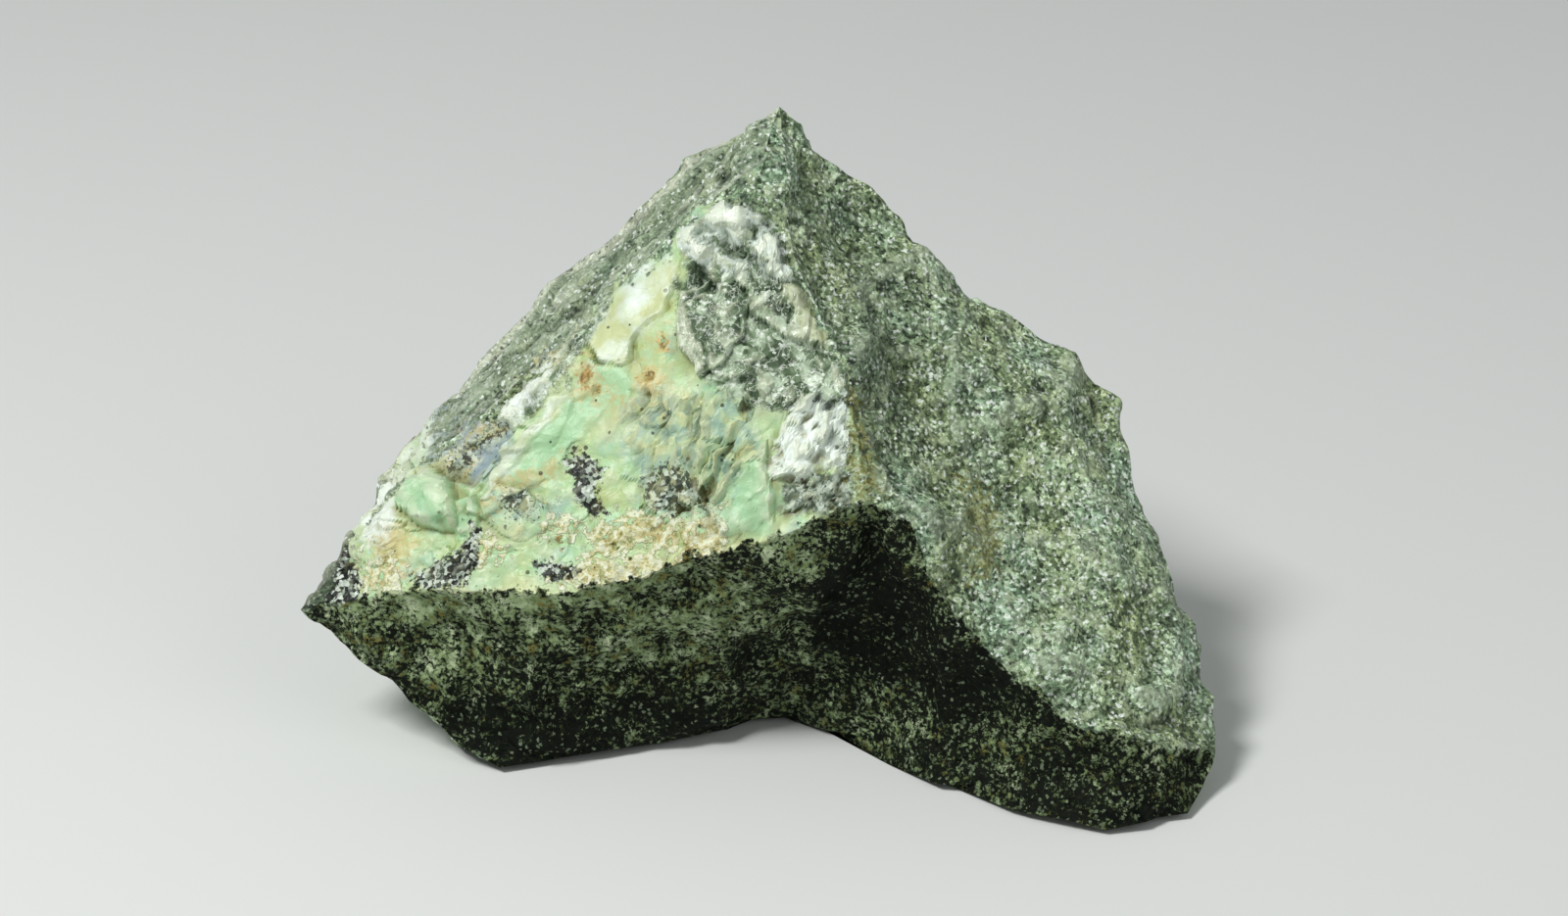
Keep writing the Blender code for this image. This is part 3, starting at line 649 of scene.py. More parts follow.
def minerals(face, points):
    """Distance into each mineral's area in millimetres, the tone of the rock, which on the flank is partly
    painted light and shade, and the crust of the walls, thinned as partly painted shade at their bottom and
    under the lobe's rim.
    """
    bent = wavering(points)
    x, z = bent[..., 0], bent[..., 2]
    none = np.full(x.shape, -OUTSIDE)
    fields = {name: none for name in FIELDS}
    fields["tone"], fields["crust"] = np.zeros(x.shape), np.full(x.shape, PLAIN_CRUST)
    dark_tip = -1.2 * eased((DARK_TIP_X - x) / 3)
    if face in ("wall", "lobe", "underside"):
        fields["serpentine"] = -none
        # Crust share, thinned at the bottom of the walls and under the lobe's rim as partly painted shade.
        fields["crust"] = 0.28 + toned(x, z, WALL_CRUST_AND_SHADE)
    if face in ("wall", "lobe", "vein", "flank"):
        run = np.cumsum(np.linalg.norm(np.diff(points, axis=0, prepend=points[:1]), axis=2), axis=0)
        fields["serpentine"] = run[-1:] - run if face in ("wall", "lobe") else -run
    if face == "strip":
        fields["banded"] = -none
        steps = np.linalg.norm(np.diff(points[::-1], axis=0, prepend=points[-1:]), axis=2)
        fields["crest_rim"] = CREST_RIM - steps.cumsum(axis=0)[::-1]
        fields["tone"] = 0.9 * eased(np.linspace(-2.6, 1.0, len(x)))[:, None] + dark_tip
    if face == "vein":
        fields["tone"] = dark_tip
    if face == "flank":
        # The flank's tone: painted shade on the steep upper part by the ridge, painted light on the lower
        # right.
        fields["tone"] = toned(x, z, FLANK_TONES_AND_SHADING)
    if face in ("flank", "vein"):
        fields["olive"] = into(x, z, OLIVE_STAINS)
    if face in ("strip", "vein", "flank", "wall", "lobe"):
        fields.update({name: into(x, z, outlines) for name, outlines in AREAS.items()})
        fields["mint"] = np.maximum(fields["mint"], within(x, z, NODULE))
        fields["rust"], fields["stain"] = near(x, z, RUST_PITS), near(x, z, RUST_STAINS)
    return {name: np.clip(field, -OUTSIDE, OUTSIDE) for name, field in fields.items()}


def stone_faces(sizes):
    """The faces of the block: rows from bottom to top, each from left to right as seen from outside."""
    crest = along(LEFT_CREST, sizes.steps_long)
    vein_top = along(VEIN_TOP, sizes.steps_long)
    vein_lower = along(VEIN_LOWER, sizes.steps_long)
    ridge = along(CENTRAL_RIDGE, sizes.steps_ridge)
    right_crest = along(RIGHT_CREST, sizes.steps_ridge)
    rim = along(RIM, sizes.steps_rim)
    keel = along(KEEL, sizes.steps_wall)
    crease = along(CREASE, sizes.steps_wall)
    heel = along(HEEL, sizes.steps_wall)
    back_ridge = along(BACK_RIDGE, sizes.steps_wall)
    base = resting_lines(sizes)
    tip = np.array(TIP, float)
    apex = np.array(APEX, float)
    strip_ends = [np.tile(end, (sizes.steps_strip + 1, 1)) for end in (tip, apex)]
    return {
        "strip": spanned(vein_top, crest, *strip_ends),
        "vein": spanned(vein_lower, vein_top, np.tile(tip, (sizes.steps_ridge + 1, 1)), ridge),
        "flank": spanned(rim, np.tile(apex, (sizes.steps_rim + 1, 1)), ridge, right_crest),
        "wall": spanned(base[0], vein_lower, keel, crease),
        "lobe": spanned(base[1], rim, crease, heel),
        "back_right": spanned(base[2], right_crest, heel, back_ridge),
        "back_left": spanned(base[3], crest[::-1], back_ridge, keel),
    }


def resting_lines(sizes):
    """The block's outline at the bottom in four lines, running round from the left foot."""
    return [
        along(BASE_LEFT, sizes.steps_long), along(BASE_RIGHT, sizes.steps_rim),
        along(BASE_BACK_RIGHT, sizes.steps_ridge), along(BASE_BACK_LEFT, sizes.steps_long),
    ]


def resting_face(sizes):
    """The underside: rings from the outline in to the flat spot and on to its middle."""
    outer = np.vstack([line[:-1] for line in resting_lines(sizes)])
    middle = np.array([outer[:, 0].mean(), outer[:, 1].mean(), 0.0])
    rings = [ragged(outer)]
    for inset, level in ((0.4 * RESTING_INSET, 0.55), (RESTING_INSET, 0.0), (0.6, 0.0), (1.0, 0.0)):
        ring = outer + (middle - outer) * inset
        ring[:, 2] = level * outer[:, 2]
        rings.append(ring)
    rings = np.array(rings)[::-1]
    return np.concatenate([rings, rings[:, :1]], axis=1)


def joined(sheets):
    """One closed surface from sheets of points and fields: equal points become one with their mean fields."""
    points, fields, triangles, start = [], [], [], 0
    for grid, field in sheets:
        rows, columns = grid.shape[:2]
        at = start + np.arange(rows * columns).reshape(rows, columns)
        a, b, c, d = at[:-1, :-1], at[:-1, 1:], at[1:, 1:], at[1:, :-1]
        triangles += [np.stack(three, axis=-1).reshape(-1, 3) for three in ((a, b, c), (a, c, d))]
        points.append(grid.reshape(-1, 3))
        fields.append(np.stack([field[name].reshape(-1) for name in FIELDS], axis=1))
        start += rows * columns
    points, fields, triangles = np.vstack(points), np.vstack(fields), np.vstack(triangles)
    merged, index, count = np.unique(np.round(points, 4), axis=0, return_inverse=True, return_counts=True)[:3]
    index = index.reshape(-1)
    means = np.stack([np.bincount(index, column) for column in fields.T], axis=1) / count[:, None]
    triangles = index[triangles]
    a, b, c = triangles.T
    return merged, means, triangles[(a != b) & (b != c) & (c != a)]


# Inputs and outputs of a mix by number. Those of a range are 0 value, 1 and 2 from, 3 and 4 to.
COLOUR_A, COLOUR_B, COLOUR_OUT = 6, 7, 2
NUMBER_A, NUMBER_B = 2, 3


def add(tree, kind, settings=(), out=0):
    """Adds a shader node and gives one of its outputs.

    Its settings go by an input's number or name, or by a property's name. One that is a socket is linked, and
    a ramp's stops are positions and colours from low to high.
    """
    made = tree.nodes.new("ShaderNode" + kind)
    for key, value in dict(settings).items():
        if key == "stops":
            (low, low_code), *between, (high, high_code) = value
            points = made.color_ramp.elements
            points[0].position, points[0].color = low, rgba(low_code)
            points[1].position, points[1].color = high, rgba(high_code)
            for position, code in between:
                points.new(position).color = rgba(code)
        elif isinstance(value, bpy.types.NodeSocket):
            tree.links.new(value, made.inputs[key])
        elif isinstance(key, int) or key in made.inputs:
            made.inputs[key].default_value = value
        else:
            setattr(made, key, value)
    return made.outputs[out]


def per_mm(size):
    """Texture scale for a pattern whose features are this many millimetres."""
    return 1.0 / (size * MM)


def grains(tree, place, size, wobble, lean):
    """Mineral grains of a size in millimetres with wobbly borders: a random value for each, and the height in
    millimetres of its tilted facet, lean times (place - middle) . tilt, plus 0.2 size times random."""
    bend = add(tree, "TexNoise", {"Scale": per_mm(size * 0.8), "Detail": 1.0, "Vector": place}, "Color")
    reach = (wobble * size * MM,) * 3
    moved = add(tree, "VectorMath", {"operation": "MULTIPLY_ADD", 0: bend, 1: reach, 2: place})
    cell = add(tree, "TexVoronoi", {"Scale": per_mm(size), "Vector": moved}, "Color")
    tilt = add(tree, "VectorMath", {"operation": "SUBTRACT", 0: cell, 1: (0.5,) * 3})
    away = add(tree, "VectorMath", {"operation": "SUBTRACT", 0: moved, 1: cell.node.outputs["Position"]})
    slope = add(tree, "VectorMath", {"operation": "DOT_PRODUCT", 0: away, 1: tilt}, "Value")
    random = add(tree, "SeparateColor", {0: cell})
    level = add(tree, "Math", {"operation": "MULTIPLY", 0: random.node.outputs[1], 1: 0.2 * size})
    return random, add(tree, "Math", {"operation": "MULTIPLY_ADD", 0: slope, 1: lean / MM, 2: level})


def turned(tree, place, slope):
    """The place for a pattern that is drawn out along a slope."""
    turn, along_x, along_z = slope
    longer = (along_x, 1.0, along_z)
    return add(
        tree, "Mapping",
        {"vector_type": "TEXTURE", "Rotation": (0.0, turn, 0.0), "Scale": longer, "Vector": place},
    )


def cover_of(tree, place, mineral, wander, grain, soft):
    """Share of the surface a mineral takes, its edge wandering by some millimetres in lumps of a grain."""
    area = add(tree, "Attribute", {"attribute_name": mineral}, "Fac")
    lumps = {"Scale": per_mm(grain), "Detail": 3.0, "Roughness": 0.65, "Vector": place}
    edge = add(tree, "MapRange", {0: add(tree, "TexNoise", lumps), 1: 0.25, 2: 0.75, 3: -wander, 4: wander})
    reach = add(tree, "Math", {"operation": "ADD", 0: area, 1: edge})
    return add(tree, "MapRange", {0: reach, 1: -soft, 2: soft})


def coated(tree, under, coats, value, paint):
    """Coats over a colour, each from no cover to its most as its pattern goes from low to high."""
    for pattern, low, high, most, colour in coats:
        amount = add(tree, "MapRange", {0: value[pattern], 1: low, 2: high, 4: most})
        above = paint[colour] if colour in paint else rgba(colour)
        mixed = {"data_type": "RGBA", 0: amount, COLOUR_A: under, COLOUR_B: above}
        under = add(tree, "Mix", mixed, COLOUR_OUT)
    return under


# Fine patterns of noise: size in millimetres, detail, roughness.
PATTERNS = {
    "sugary": (0.8, 4.0, 0.8), "cloud": (9.0, 3.0, 0.6), "wax": (6.0, 3.0, 0.6), "milk": (2.6, 4.0, 0.6),
    "crumb": (1.3, 4.0, 0.75), "crust_spread": (7.0, 3.0, 0.65), "crust_speck": (0.9, 4.0, 0.85),
    "tooth": (0.45, 2.0, 0.7), "streak": (1.3, 4.0, 0.65),
}
# Grains and crystals: size in millimetres, wobble of their borders, lean of their facets.
GRAINS = {
    "sugar": (0.5, 0.9, 1.2), "crystal": (1.9, 0.8, 0.45), "glint": (0.4, 0.6, 1.2),
    "pepper": (0.55, 0.8, 1.2), "flake": (2.0, 0.5, 1.1), "knap": (4.5, 0.35, 0.35),
    "ripple": (1.7, 0.5, 1.0),
}
# Patterns that are drawn out along a slope.
SLOPES = {"streak": STREAKS, "ripple": RIPPLES}
# Black dots, and the flakes' outlines with how far they are bent.
DOT_SPACING = 1.5
FLAKE_SIZE = 2.4
FLAKE_BEND = 7.0
# Sums of patterns in order: name, and the weight, first and second of weight x first + second.
SUMS = (
    # The grey takes the tone too, which lightens the flank's lower right as painted light.
    ("grey", 0.30, "sugar", "sugary"), ("grey", 0.10, "crystal", "grey"), ("grey", 0.10, "tone", "grey"),
    ("flaky", 0.3, "flake", "milk"), ("fibre", 0.4, "pepper", "milk"), ("crumbly", 0.12, "pepper", "crumb"),
    ("spread", 1.6, "crust_spread", "crust"), ("spread", 3.2, "crust_speck", "spread"),
    ("spread", 0.6, "sugar", "spread"),
    ("rocky", 1.0, "sugar_facet", "crystal_facet"), ("lumps", 0.7, "milk", "crumb"),
    ("rippling", 0.35, "ripple_facet", "milk"),
)
# Colours that run along a pattern, from its low values to its high ones.
RAMPS = {
    "shade": ("grey", (
        (0.46, "#2f392b"), (0.57, "#6c7a64"), (0.70, "#93a189"), (0.81, "#bcc7b0"), (0.92, "#eff4ea"),
    )),
    "weather": ("cloud", ((0.36, "#e2e4c4"), (0.5, "#f4faec"), (0.64, "#e4f2f0"))),
    "bands": ("streak", ((0.38, "#36422f"), (0.5, "#8a9c81"), (0.64, "#dfe5d2"))),
    "garnierite": ("wax", ((0.34, "#aebd80"), (0.43, "#b3ca90"), (0.54, "#aacd9c"), (0.68, "#a2c4b0"))),
    "pale": ("wax", ((0.38, "#c4cc98"), (0.47, "#cfdbbe"), (0.60, "#dce7db"))),
    "rusty": ("crumb", ((0.42, "#7a5a2e"), (0.6, "#caa862"))),
    "layers": ("streak", (
        (0.34, "#6e7d74"), (0.42, "#9aa9a6"), (0.50, "#c5cdb4"), (0.57, "#c4b98a"), (0.62, "#b4c7a8"),
        (0.70, "#dfe5da"),
    )),
    "flaked": ("flaky", ((0.42, "#2f402b"), (0.57, "#53674b"), (0.70, "#778c6c"), (0.84, "#b9ccb0"))),
    "rippled": ("rippling", ((0.30, "#7f9c98"), (0.45, "#9cb5a6"), (0.60, "#b6caa6"), (0.74, "#d0d4a2"))),
    "fibrous": ("fibre", ((0.42, "#232d22"), (0.62, "#5a6b58"), (0.9, "#b6c3b4"))),
    "resinous": ("milk", ((0.36, "#7f8a57"), (0.5, "#aab18a"), (0.64, "#c5cba9"))),
    "crumbs": ("crumbly", ((0.42, "#84733f"), (0.50, "#b7a568"), (0.58, "#d0cc9c"), (0.66, "#e4e8d0"))),
    "salt": ("pepper", ((0.42, "#0b100a"), (0.6, "#2b352a"), (0.72, "#8b9a88"), (0.95, "#d3ddd0"))),
    "sage": ("milk", ((0.35, "#6f6a38"), (0.45, "#73855a"), (0.55, "#93a67c"), (0.66, "#b3c09c"))),
}
# Edges of minerals: wander of the edge, lump of the wander, softness. Lengths are millimetres.
EDGES = (
    ("vein", 1.0, 1.6, 0.3), ("serpentine", 1.6, 1.6, 0.25), ("banded", 1.0, 2.0, 0.8),
    ("crest_rim", 2.0, 5.0, 0.4), ("olive", 3.6, 0.9, 0.8),
)
RIPPLE_EDGE = (1.6, 2.4, 0.6)
# The vein's minerals in the order they lie over one another: attribute, colour, most cover, and its edge.
LAYERS = (
    ("cream", "cream", 0.75, 1.6, 3.0, 1.0),
    ("layered", "layers", 0.9, 1.0, 3.0, 0.8),
    ("mint", "mint", 0.8, 0.8, 3.0, 0.7),
    ("pale", "pale", 0.95, 0.7, 3.0, 0.6),
    ("bluish", "rippled", 0.75, 2.2, 2.4, 1.0),
    ("lilac", "#8497a2", 0.85, 0.7, 1.6, 0.6),
    ("tan", "#bdb37a", 0.75, 1.4, 1.2, 0.5),
    ("stain", "#c9a462", 0.5, 2.4, 1.0, 1.0),
    ("flakes", "glassy", 1.0, 1.0, 2.0, 0.5),
    ("dark_crystal", "fibrous", 1.0, 1.0, 1.5, 0.5),
    ("quartz", "milky", 0.95, 0.6, 1.2, 0.35),
    ("white", "#e9f2ea", 0.95, 0.8, 0.8, 0.35),
    ("snowy", "#e9f2ea", 0.8, 0.8, 1.5, 0.5),
    ("yellow_quartz", "resinous", 0.85, 0.8, 1.2, 0.5),
    ("earth", "crumbs", 0.9, 2.8, 1.3, 0.35),
    ("rust", "rusty", 0.9, 1.7, 0.7, 0.2),
    ("peppered", "salt", 0.9, 1.6, 0.5, 0.15),
    ("speckled", "salt", 1.0, 1.0, 0.8, 0.2),
)
# What each point of the surface carries: distance into each mineral, tone of the rock (on the flank partly
# painted light and shade), crust (thinned as painted shade in places), and how far it stands out, for crests
# painted paler with rubbing and a painted highlight, and hollows painted darker with dirt and painted shade.
FIELDS = [name for name, *_ in EDGES + LAYERS] + ["tone", "crust", "worn"]
# Relief of the vein too fine for the mesh, in the order it is laid on: where it shows, pattern, height.
VEIN_GRAIN = (
    ("vein", "knap_facet", 0.5), ("glassy", "flake_facet", 0.45), ("ripple_cover", "ripple_facet", 0.35),
    ("earth", "crumb", 0.3), ("speckled", "sugar_facet", 0.4),
)
# Coats: pattern, its low and high, most cover, colour.
# The tone's coat darkens the rock: its own darker tone, and on the flank's steep upper part painted shade.
ROCK_COATS = (
    ("banded", 0.0, 1.0, 0.6, "bands"), ("crest_rim", 0.0, 1.0, 0.85, "#d6dcc4"),
    ("crystal", 0.84, 0.90, 0.5, "#a2ae8a"), ("crystal", 0.10, 0.06, 0.35, "#3a4634"),
    ("glint", 0.885, 0.93, 0.9, "#e8f1e6"), ("glint", 0.07, 0.04, 0.75, "#1d251b"),
    ("tone", 0.0, -1.0, 0.6, "#273223"), ("olive", 0.0, 1.0, 0.6, "#8b8942"),
)
VEIN_COATS = (("dot", -0.03, 0.0, 0.85, "#1c2219"),)
# Walls: a near-black base, partly the rock's own colour and partly painted shade, with pale crust and specks.
WALL_COATS = (
    ("sugary", 0.40, 0.65, 1.0, "serpentine"), ("spread", 2.80, 3.23, 0.8, "#37432b"),
    ("spread", 3.14, 3.32, 1.0, "sage"), ("glint", 0.93, 0.96, 0.6, "#7c8b70"),
)
FLAKE_COATS = (("glint", 0.90, 0.95, 0.8, "#e6eee2"), ("flake_edge", 0.055, 0.0, 0.75, "#dfe8d9"))
# Crest colours: partly rubbed pale, partly painted highlight.
CREST_WEAR_AND_HIGHLIGHT_COATS = (("vein", 0.0, 1.0, 1.0, "#d5dcc0"), ("bluish", 0.0, 1.0, 1.0, "#cfd3a3"))
# Colours in hollows: partly dirt, partly painted shade.
HOLLOW_DIRT_AND_SHADE_COATS = (
    ("vein", 0.0, 1.0, 1.0, "#87814e"), ("flakes", 0.0, 1.0, 1.0, "#3f4d39"),
    ("quartz", 0.0, 1.0, 1.0, "#88967f"),
)
# Over the rock and vein: painted highlight with rubbing on crests, painted shade with dirt in hollows; then the
# walls, whose near-black is partly painted shade.
STONE_COATS = (
    ("vein", 0.0, 1.0, 1.0, "vein"), ("worn", 0.10, 0.9, 0.55, "crest"), ("worn", -0.15, -1.3, 0.6, "dirt_and_shade_in_hollows"),
    ("serpentine", 0.0, 1.0, 1.0, "wall"),
)


def broken_stone(colours):
    """Altered peridotite with a garnierite vein, broken by hammer.

    Sugary half-millimetre grains of grey-green with white glints, a waxy mint to cream vein, grey and milky
    quartz, and near black serpentine with a pale crust on the walls below; the walls' near-black is partly
    painted shade. Crests are painted paler, partly rubbing and partly painted highlight, and hollows darker,
    partly dirt and partly painted shade.
    """
    material = bpy.data.materials.new("broken_peridotite_with_garnierite")
    material.use_nodes = True
    tree = material.node_tree
    shader = tree.nodes["Principled BSDF"]
    place = add(tree, "TexCoord", out="Object")

    # Patterns and shares by name.
    carried = ("tone", "worn", "crust")
    value = {name: add(tree, "Attribute", {"attribute_name": name}, "Fac") for name in carried}
    places = {name: turned(tree, place, slope) for name, slope in SLOPES.items()}
    for name, (size, detail, rough) in PATTERNS.items():
        where = places.get(name, place)
        look = {"Scale": per_mm(size), "Detail": detail, "Roughness": rough, "Vector": where}
        value[name] = add(tree, "TexNoise", look)
    for name, of_grain in GRAINS.items():
        value[name], value[name + "_facet"] = grains(tree, places.get(name, place), *of_grain)
    for name, weight, first, second in SUMS:
        total = {"operation": "MULTIPLY_ADD", 0: value[first], 1: weight, 2: value[second]}
        value[name] = add(tree, "Math", total)
    for name, *edge in EDGES:
        value[name] = cover_of(tree, place, name, *edge)
    for name, _, _, *edge in LAYERS:
        value[name] = cover_of(tree, place, name, *edge)
    value["ripple_cover"] = cover_of(tree, place, "bluish", *RIPPLE_EDGE)
    value["glassy"] = add(tree, "Math", {"operation": "MAXIMUM", 0: value["quartz"], 1: value["flakes"]})

    # Small black dots of the vein, and thin bright edges of the flakes.
    spot = add(tree, "TexVoronoi", {"Scale": per_mm(DOT_SPACING), "Vector": place}, "Color")
    radius = add(tree, "MapRange", {0: add(tree, "SeparateColor", {0: spot}), 1: 0.70, 2: 0.95, 4: 0.2})
    value["dot"] = add(tree, "Math", {"operation": "SUBTRACT", 0: radius, 1: spot.node.outputs["Distance"]})
    bend = add(tree, "TexNoise", {"Scale": per_mm(2.5), "Detail": 3.0, "Vector": place}, "Color")
    reach = (FLAKE_BEND * MM,) * 3
    bent = add(tree, "VectorMath", {"operation": "MULTIPLY_ADD", 0: bend, 1: reach, 2: place})
    look = {"feature": "DISTANCE_TO_EDGE", "Scale": per_mm(FLAKE_SIZE), "Vector": bent}
    value["flake_edge"] = add(tree, "TexVoronoi", look)

    # Colour.
    chosen = ("mint", "cream", "quartz", "rock_tint", "serpentine")
    paint = {name: (*getattr(colours, name), 1.0) for name in chosen}
    for name, (pattern, stops) in RAMPS.items():
        paint[name] = add(tree, "ValToRGB", {0: value[pattern], "stops": stops})
    paint["glassy"] = coated(tree, paint["flaked"], FLAKE_COATS, value, paint)
    paint["milky"] = coated(tree, rgba("#d0ded2"), [("milk", 0.38, 0.62, 1.0, "quartz")], value, paint)
    rock = paint["shade"]
    for tint in (paint["weather"], paint["rock_tint"]):
        mixed = {"data_type": "RGBA", "blend_type": "MULTIPLY", 0: 1.0, COLOUR_A: rock, COLOUR_B: tint}
        rock = add(tree, "Mix", mixed, COLOUR_OUT)
    rock = coated(tree, rock, ROCK_COATS, value, paint)
    vein = coated(tree, paint["garnierite"], [("milk", 0.42, 0.64, 0.7, "#c2cfa4")], value, paint)
    layers = [(name, 0.0, 1.0, most, colour) for name, colour, most, *_ in LAYERS]
    vein = coated(tree, vein, layers, value, paint)
    paint["vein"] = coated(tree, vein, VEIN_COATS, value, paint)
    # The walls' near-black base is partly painted shade of the walls in shade under the vein.
    paint["wall"] = coated(tree, rgba("#050804"), WALL_COATS, value, paint)
    # Crests paler, partly rubbing and partly painted highlight; hollows darker, partly dirt and partly painted
    # shade.
    paint["crest"] = coated(tree, rgba("#a5b398"), CREST_WEAR_AND_HIGHLIGHT_COATS, value, paint)
    paint["dirt_and_shade_in_hollows"] = coated(tree, rgba("#2a3425"), HOLLOW_DIRT_AND_SHADE_COATS, value, paint)
    tree.links.new(coated(tree, rock, STONE_COATS, value, paint), shader.inputs["Base Color"])

    # Gloss: dry rock with bright grain faces, waxy vein, glassy quartz, crumbly earth, dull walls.
    dry = add(tree, "MapRange", {0: value["sugar"], 3: 0.75, 4: 0.35})
    wax = add(tree, "MapRange", {0: value["earth"], 3: 0.42, 4: 0.9})
    wax = add(tree, "Math", {"operation": "MULTIPLY_ADD", 0: value["glassy"], 1: -0.14, 2: wax})
    rough = add(tree, "Mix", {0: value["vein"], NUMBER_A: dry, NUMBER_B: wax})
    rough = add(tree, "Mix", {0: value["serpentine"], NUMBER_A: rough, NUMBER_B: 0.7})
    tree.links.new(rough, shader.inputs["Roughness"])
    dull = add(tree, "MapRange", {0: value["serpentine"], 3: 0.5, 4: 0.1})
    tree.links.new(dull, shader.inputs["Specular IOR Level"])

    # Fine relief in millimetres: facets of grains and crystals, crumbs and a fine tooth.
    waxy = add(tree, "Math", {"operation": "MULTIPLY", 0: value["lumps"], 1: 0.1})
    for name, pattern, height in VEIN_GRAIN:
        raised = add(tree, "Math", {"operation": "MULTIPLY_ADD", 0: value[pattern], 1: height, 2: waxy})
        waxy = add(tree, "Mix", {0: value[name], NUMBER_A: waxy, NUMBER_B: raised})
    fine = add(tree, "Mix", {0: value["vein"], NUMBER_A: value["rocky"], NUMBER_B: waxy})
    crust = add(tree, "MapRange", {0: value["spread"], 1: 2.90, 2: 3.50, 4: 0.25})
    fine = add(tree, "Mix", {0: value["serpentine"], NUMBER_A: fine, NUMBER_B: crust})
    fine = add(tree, "Math", {"operation": "MULTIPLY_ADD", 0: value["tooth"], 1: 0.08, 2: fine})
    bump = add(tree, "Bump", {"Distance": MM, "Strength": 1.0, "Height": fine})
    tree.links.new(bump, shader.inputs["Normal"])
    return material


def colour_setting(name, description, code):
    """A colour that a user can change."""
    return bpy.props.FloatVectorProperty(
        name=name, description=description, subtype="COLOR", default=linear(code), min=0.0, max=1.0,
    )


def steps_setting(name, where, default, least):
    """A number of grid steps that a user can change."""
    return bpy.props.IntProperty(name=name, description="Grid steps " + where, default=default, min=least)


class StoneSettings(bpy.types.PropertyGroup):
    """Fineness and colours of the stone."""
    mint: colour_setting("Mint", "Colour of the greenest garnierite", "#9fcb9f")
    cream: colour_setting("Cream", "Colour of the cream garnierite", "#c6c997")
    quartz: colour_setting("Quartz", "Colour of the milky quartz", "#eff7f1")
    rock_tint: colour_setting("Rock tint", "Tint over the grains of the peridotite", "#f4fff0")
    # Partly painted shade: the walls' colour is darker than the serpentine's own, for the shade they are in.
    serpentine: colour_setting("Serpentine", "Colour of the dark walls between their crust", "#0d130a")
    steps_long: steps_setting("Steps along the vein", "along the long ridge lines", 220, 20)
    steps_ridge: steps_setting("Steps up the ridge", "up the central ridge", 160, 20)
    steps_rim: steps_setting("Steps along the rim", "along the rim of the right lobe", 150, 20)
    steps_wall: steps_setting("Steps up the walls", "up the shaded walls and the back", 40, 8)
    steps_strip: steps_setting("Steps across the strip", "across the strip along the left crest", 20, 3)


class StageSettings(bpy.types.PropertyGroup):
    """Floor, lights and camera."""
    floor_colour: colour_setting("Floor colour", "Colour of the plain pale floor", "#d9dbd8")
    floor_size: bpy.props.FloatProperty(
        name="Floor size", description="Side of the square floor", default=6.0, unit="LENGTH", min=0.5
    )
    elevation: bpy.props.FloatProperty(
        name="Camera elevation", description="Angle of the camera above its target", default=math.radians(26.0),
        subtype="ANGLE",
    )
    distance: bpy.props.FloatProperty(
        name="Camera distance", description="Distance from the camera to its target", default=0.575,
        unit="LENGTH",
    )
    lens: bpy.props.FloatProperty(
        name="Lens", description="Focal length of the camera", default=100.0, unit="CAMERA"
    )
    key_power: bpy.props.FloatProperty(
        name="Key light", description="Power of the main light at the upper left", default=7.0, unit="POWER"
    )


class SPECIMEN_OT_stone(bpy.types.Operator):
    """Build the stone: its broken surface and its minerals"""
    bl_idname = "specimen.stone"
    bl_label = "Stone"

    def execute(self, context):
        sizes = context.scene.specimen_stone
        sheets = []
        for name, grid in stone_faces(sizes).items():
            # Each face also carries how far it stands out, for the crests' painted highlight and the hollows'
            # painted shade.
            raised, worn = broken(name, grid)
            sheets.append((ragged(raised), minerals(name, grid) | {"worn": worn}))
        underside = resting_face(sizes)
        sheets.append((underside, minerals("underside", underside)))
        points, fields, triangles = joined(sheets)
        mesh = bpy.data.meshes.new("stone")
        mesh.from_pydata((points * MM).tolist(), [], triangles.tolist())
        for k, name in enumerate(FIELDS):
            values = fields[:, k].astype(np.float32)
            mesh.attributes.new(name, "FLOAT", "POINT").data.foreach_set("value", values)
        mesh.shade_smooth()
        mesh.set_sharp_from_angle(angle=CREASE_ANGLE)
        mesh.materials.append(broken_stone(sizes))
        stone = bpy.data.objects.new("stone", mesh)
        context.scene.collection.objects.link(stone)
        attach(stone, "root")
        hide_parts(NODE)
        return {"FINISHED"}


def matt_paper(tint):
    """Smooth pale paper with no shine, so that only the stone's soft shadow shows on it."""
    material = bpy.data.materials.new("matt_paper")
    material.use_nodes = True
    inputs = material.node_tree.nodes["Principled BSDF"].inputs
    inputs["Base Color"].default_value = (*tint, 1.0)
    inputs["Roughness"].default_value = 0.9
    return material


def aimed(way):
    """Turns that point a light's own -z along a way."""
    x, y, z = way
    return (math.atan2(math.hypot(x, y), -z), 0.0, math.atan2(x, -y) + math.pi)


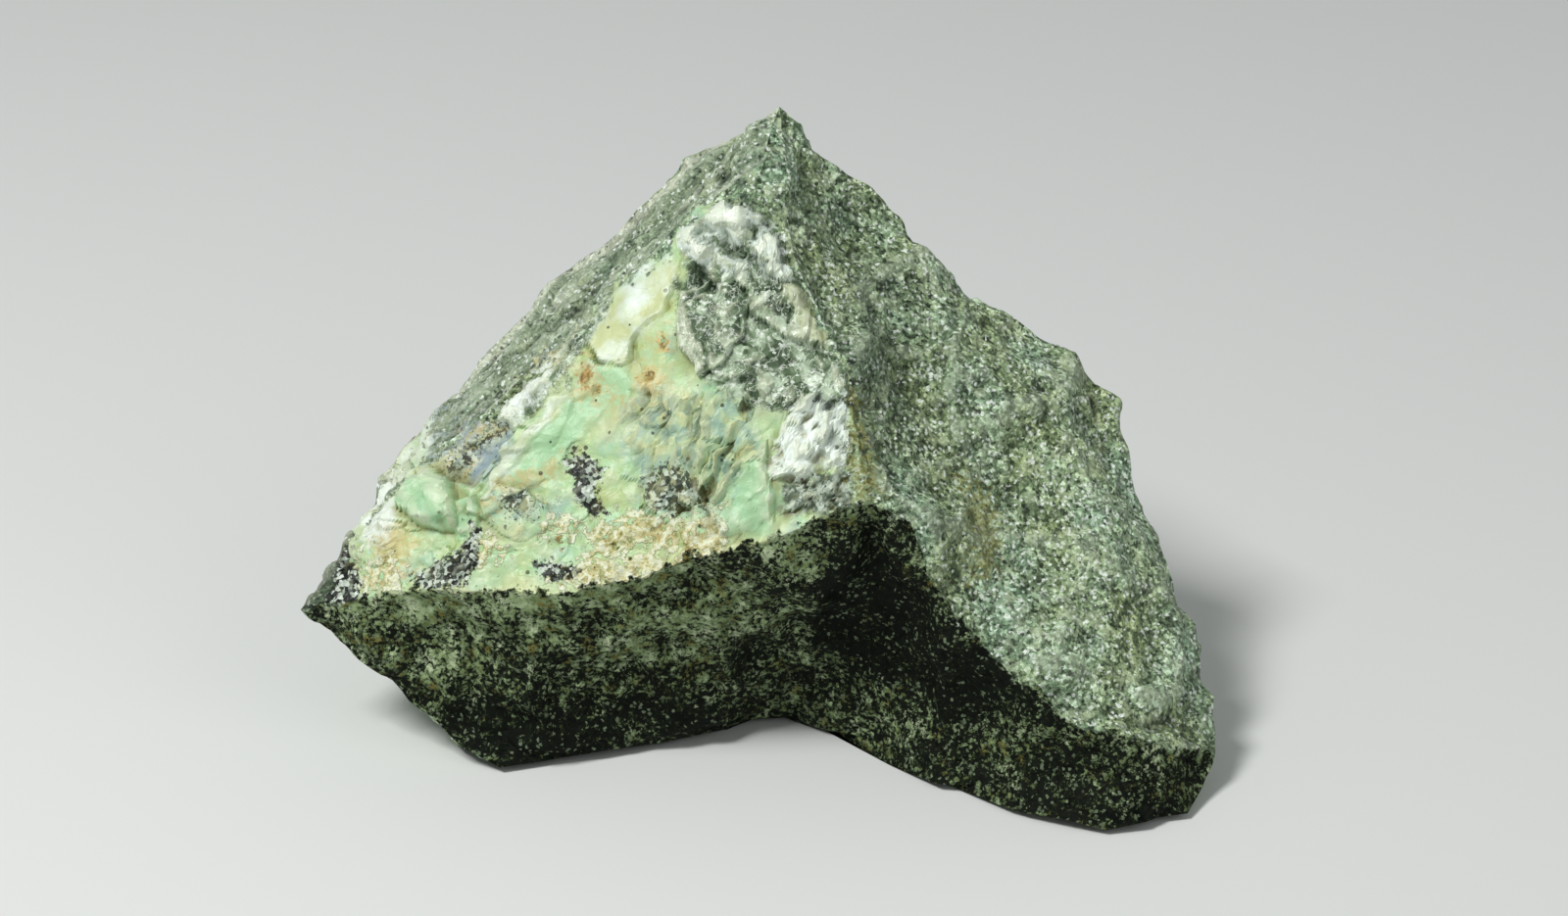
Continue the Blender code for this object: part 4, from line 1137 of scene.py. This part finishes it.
class SPECIMEN_OT_stage(bpy.types.Operator):
    """Build the plain floor, the soft lights and the camera"""
    bl_idname = "specimen.stage"
    bl_label = "Stage"

    def execute(self, context):
        scene, sizes = context.scene, context.scene.specimen_stage
        half, level = sizes.floor_size / 2, -FLOOR_DROP * MM
        mesh = bpy.data.meshes.new("floor")
        corners = [(x, y, level) for x, y in ((-half, -half), (half, -half), (half, half), (-half, half))]
        mesh.from_pydata(corners, [], [(0, 1, 2, 3)])
        floor = bpy.data.objects.new("floor", mesh)
        scene.collection.objects.link(floor)
        mesh.materials.append(matt_paper(sizes.floor_colour))

        world = bpy.data.worlds.new("studio")
        world.use_nodes = True
        sky = world.node_tree.nodes["Background"].inputs
        sky["Color"].default_value = rgba("#dfe3e4")
        sky["Strength"].default_value = SKY_STRENGTH
        scene.world = world
        scene.view_settings.view_transform = "Standard"

        target = np.array(TARGET) * MM
        for name, (way, reach, size, power) in LIGHTS.items():
            lamp = bpy.data.lights.new(name, "AREA")
            lamp.size, lamp.energy = size * MM, sizes.key_power * power
            light = bpy.data.objects.new(name, lamp)
            toward = np.array(way) / np.linalg.norm(way)
            light.location = target + toward * reach * MM
            light.rotation_euler = aimed(-toward)
            scene.collection.objects.link(light)

        lens = bpy.data.cameras.new("camera")
        lens.lens, lens.sensor_width, lens.clip_start = sizes.lens, SENSOR_WIDTH, NEAR_CLIP * MM
        camera = bpy.data.objects.new("camera", lens)
        forward = np.array([0.0, math.cos(sizes.elevation), -math.sin(sizes.elevation)])
        camera.location = target - forward * sizes.distance
        camera.rotation_euler = (math.pi / 2 - sizes.elevation, 0.0, 0.0)
        scene.collection.objects.link(camera)
        scene.camera = camera
        return {"FINISHED"}


class SPECIMEN_PT_panel(bpy.types.Panel):
    """Lists the pieces of the specimen"""
    bl_label = "Garnierite specimen"
    bl_idname = "SPECIMEN_PT_panel"
    bl_space_type = "VIEW_3D"
    bl_region_type = "UI"
    bl_category = "Specimen"

    def draw(self, context):
        for title, settings, operator in (
            ("Stone", context.scene.specimen_stone, SPECIMEN_OT_stone),
            ("Stage", context.scene.specimen_stage, SPECIMEN_OT_stage),
        ):
            box = self.layout.box()
            box.label(text=title)
            for name in settings.__annotations__:
                box.prop(settings, name)
            box.operator(operator.bl_idname)


CLASSES = (StoneSettings, StageSettings, SPECIMEN_OT_stone, SPECIMEN_OT_stage, SPECIMEN_PT_panel)


def register():
    for item in CLASSES:
        bpy.utils.register_class(item)
    bpy.types.Scene.specimen_stone = bpy.props.PointerProperty(type=StoneSettings)
    bpy.types.Scene.specimen_stage = bpy.props.PointerProperty(type=StageSettings)


def unregister():
    del bpy.types.Scene.specimen_stage
    del bpy.types.Scene.specimen_stone
    for item in reversed(CLASSES):
        bpy.utils.unregister_class(item)


def main():
    register()
    bpy.ops.specimen.stone()
    bpy.ops.specimen.stage()


if __name__ == "__main__":
    main()
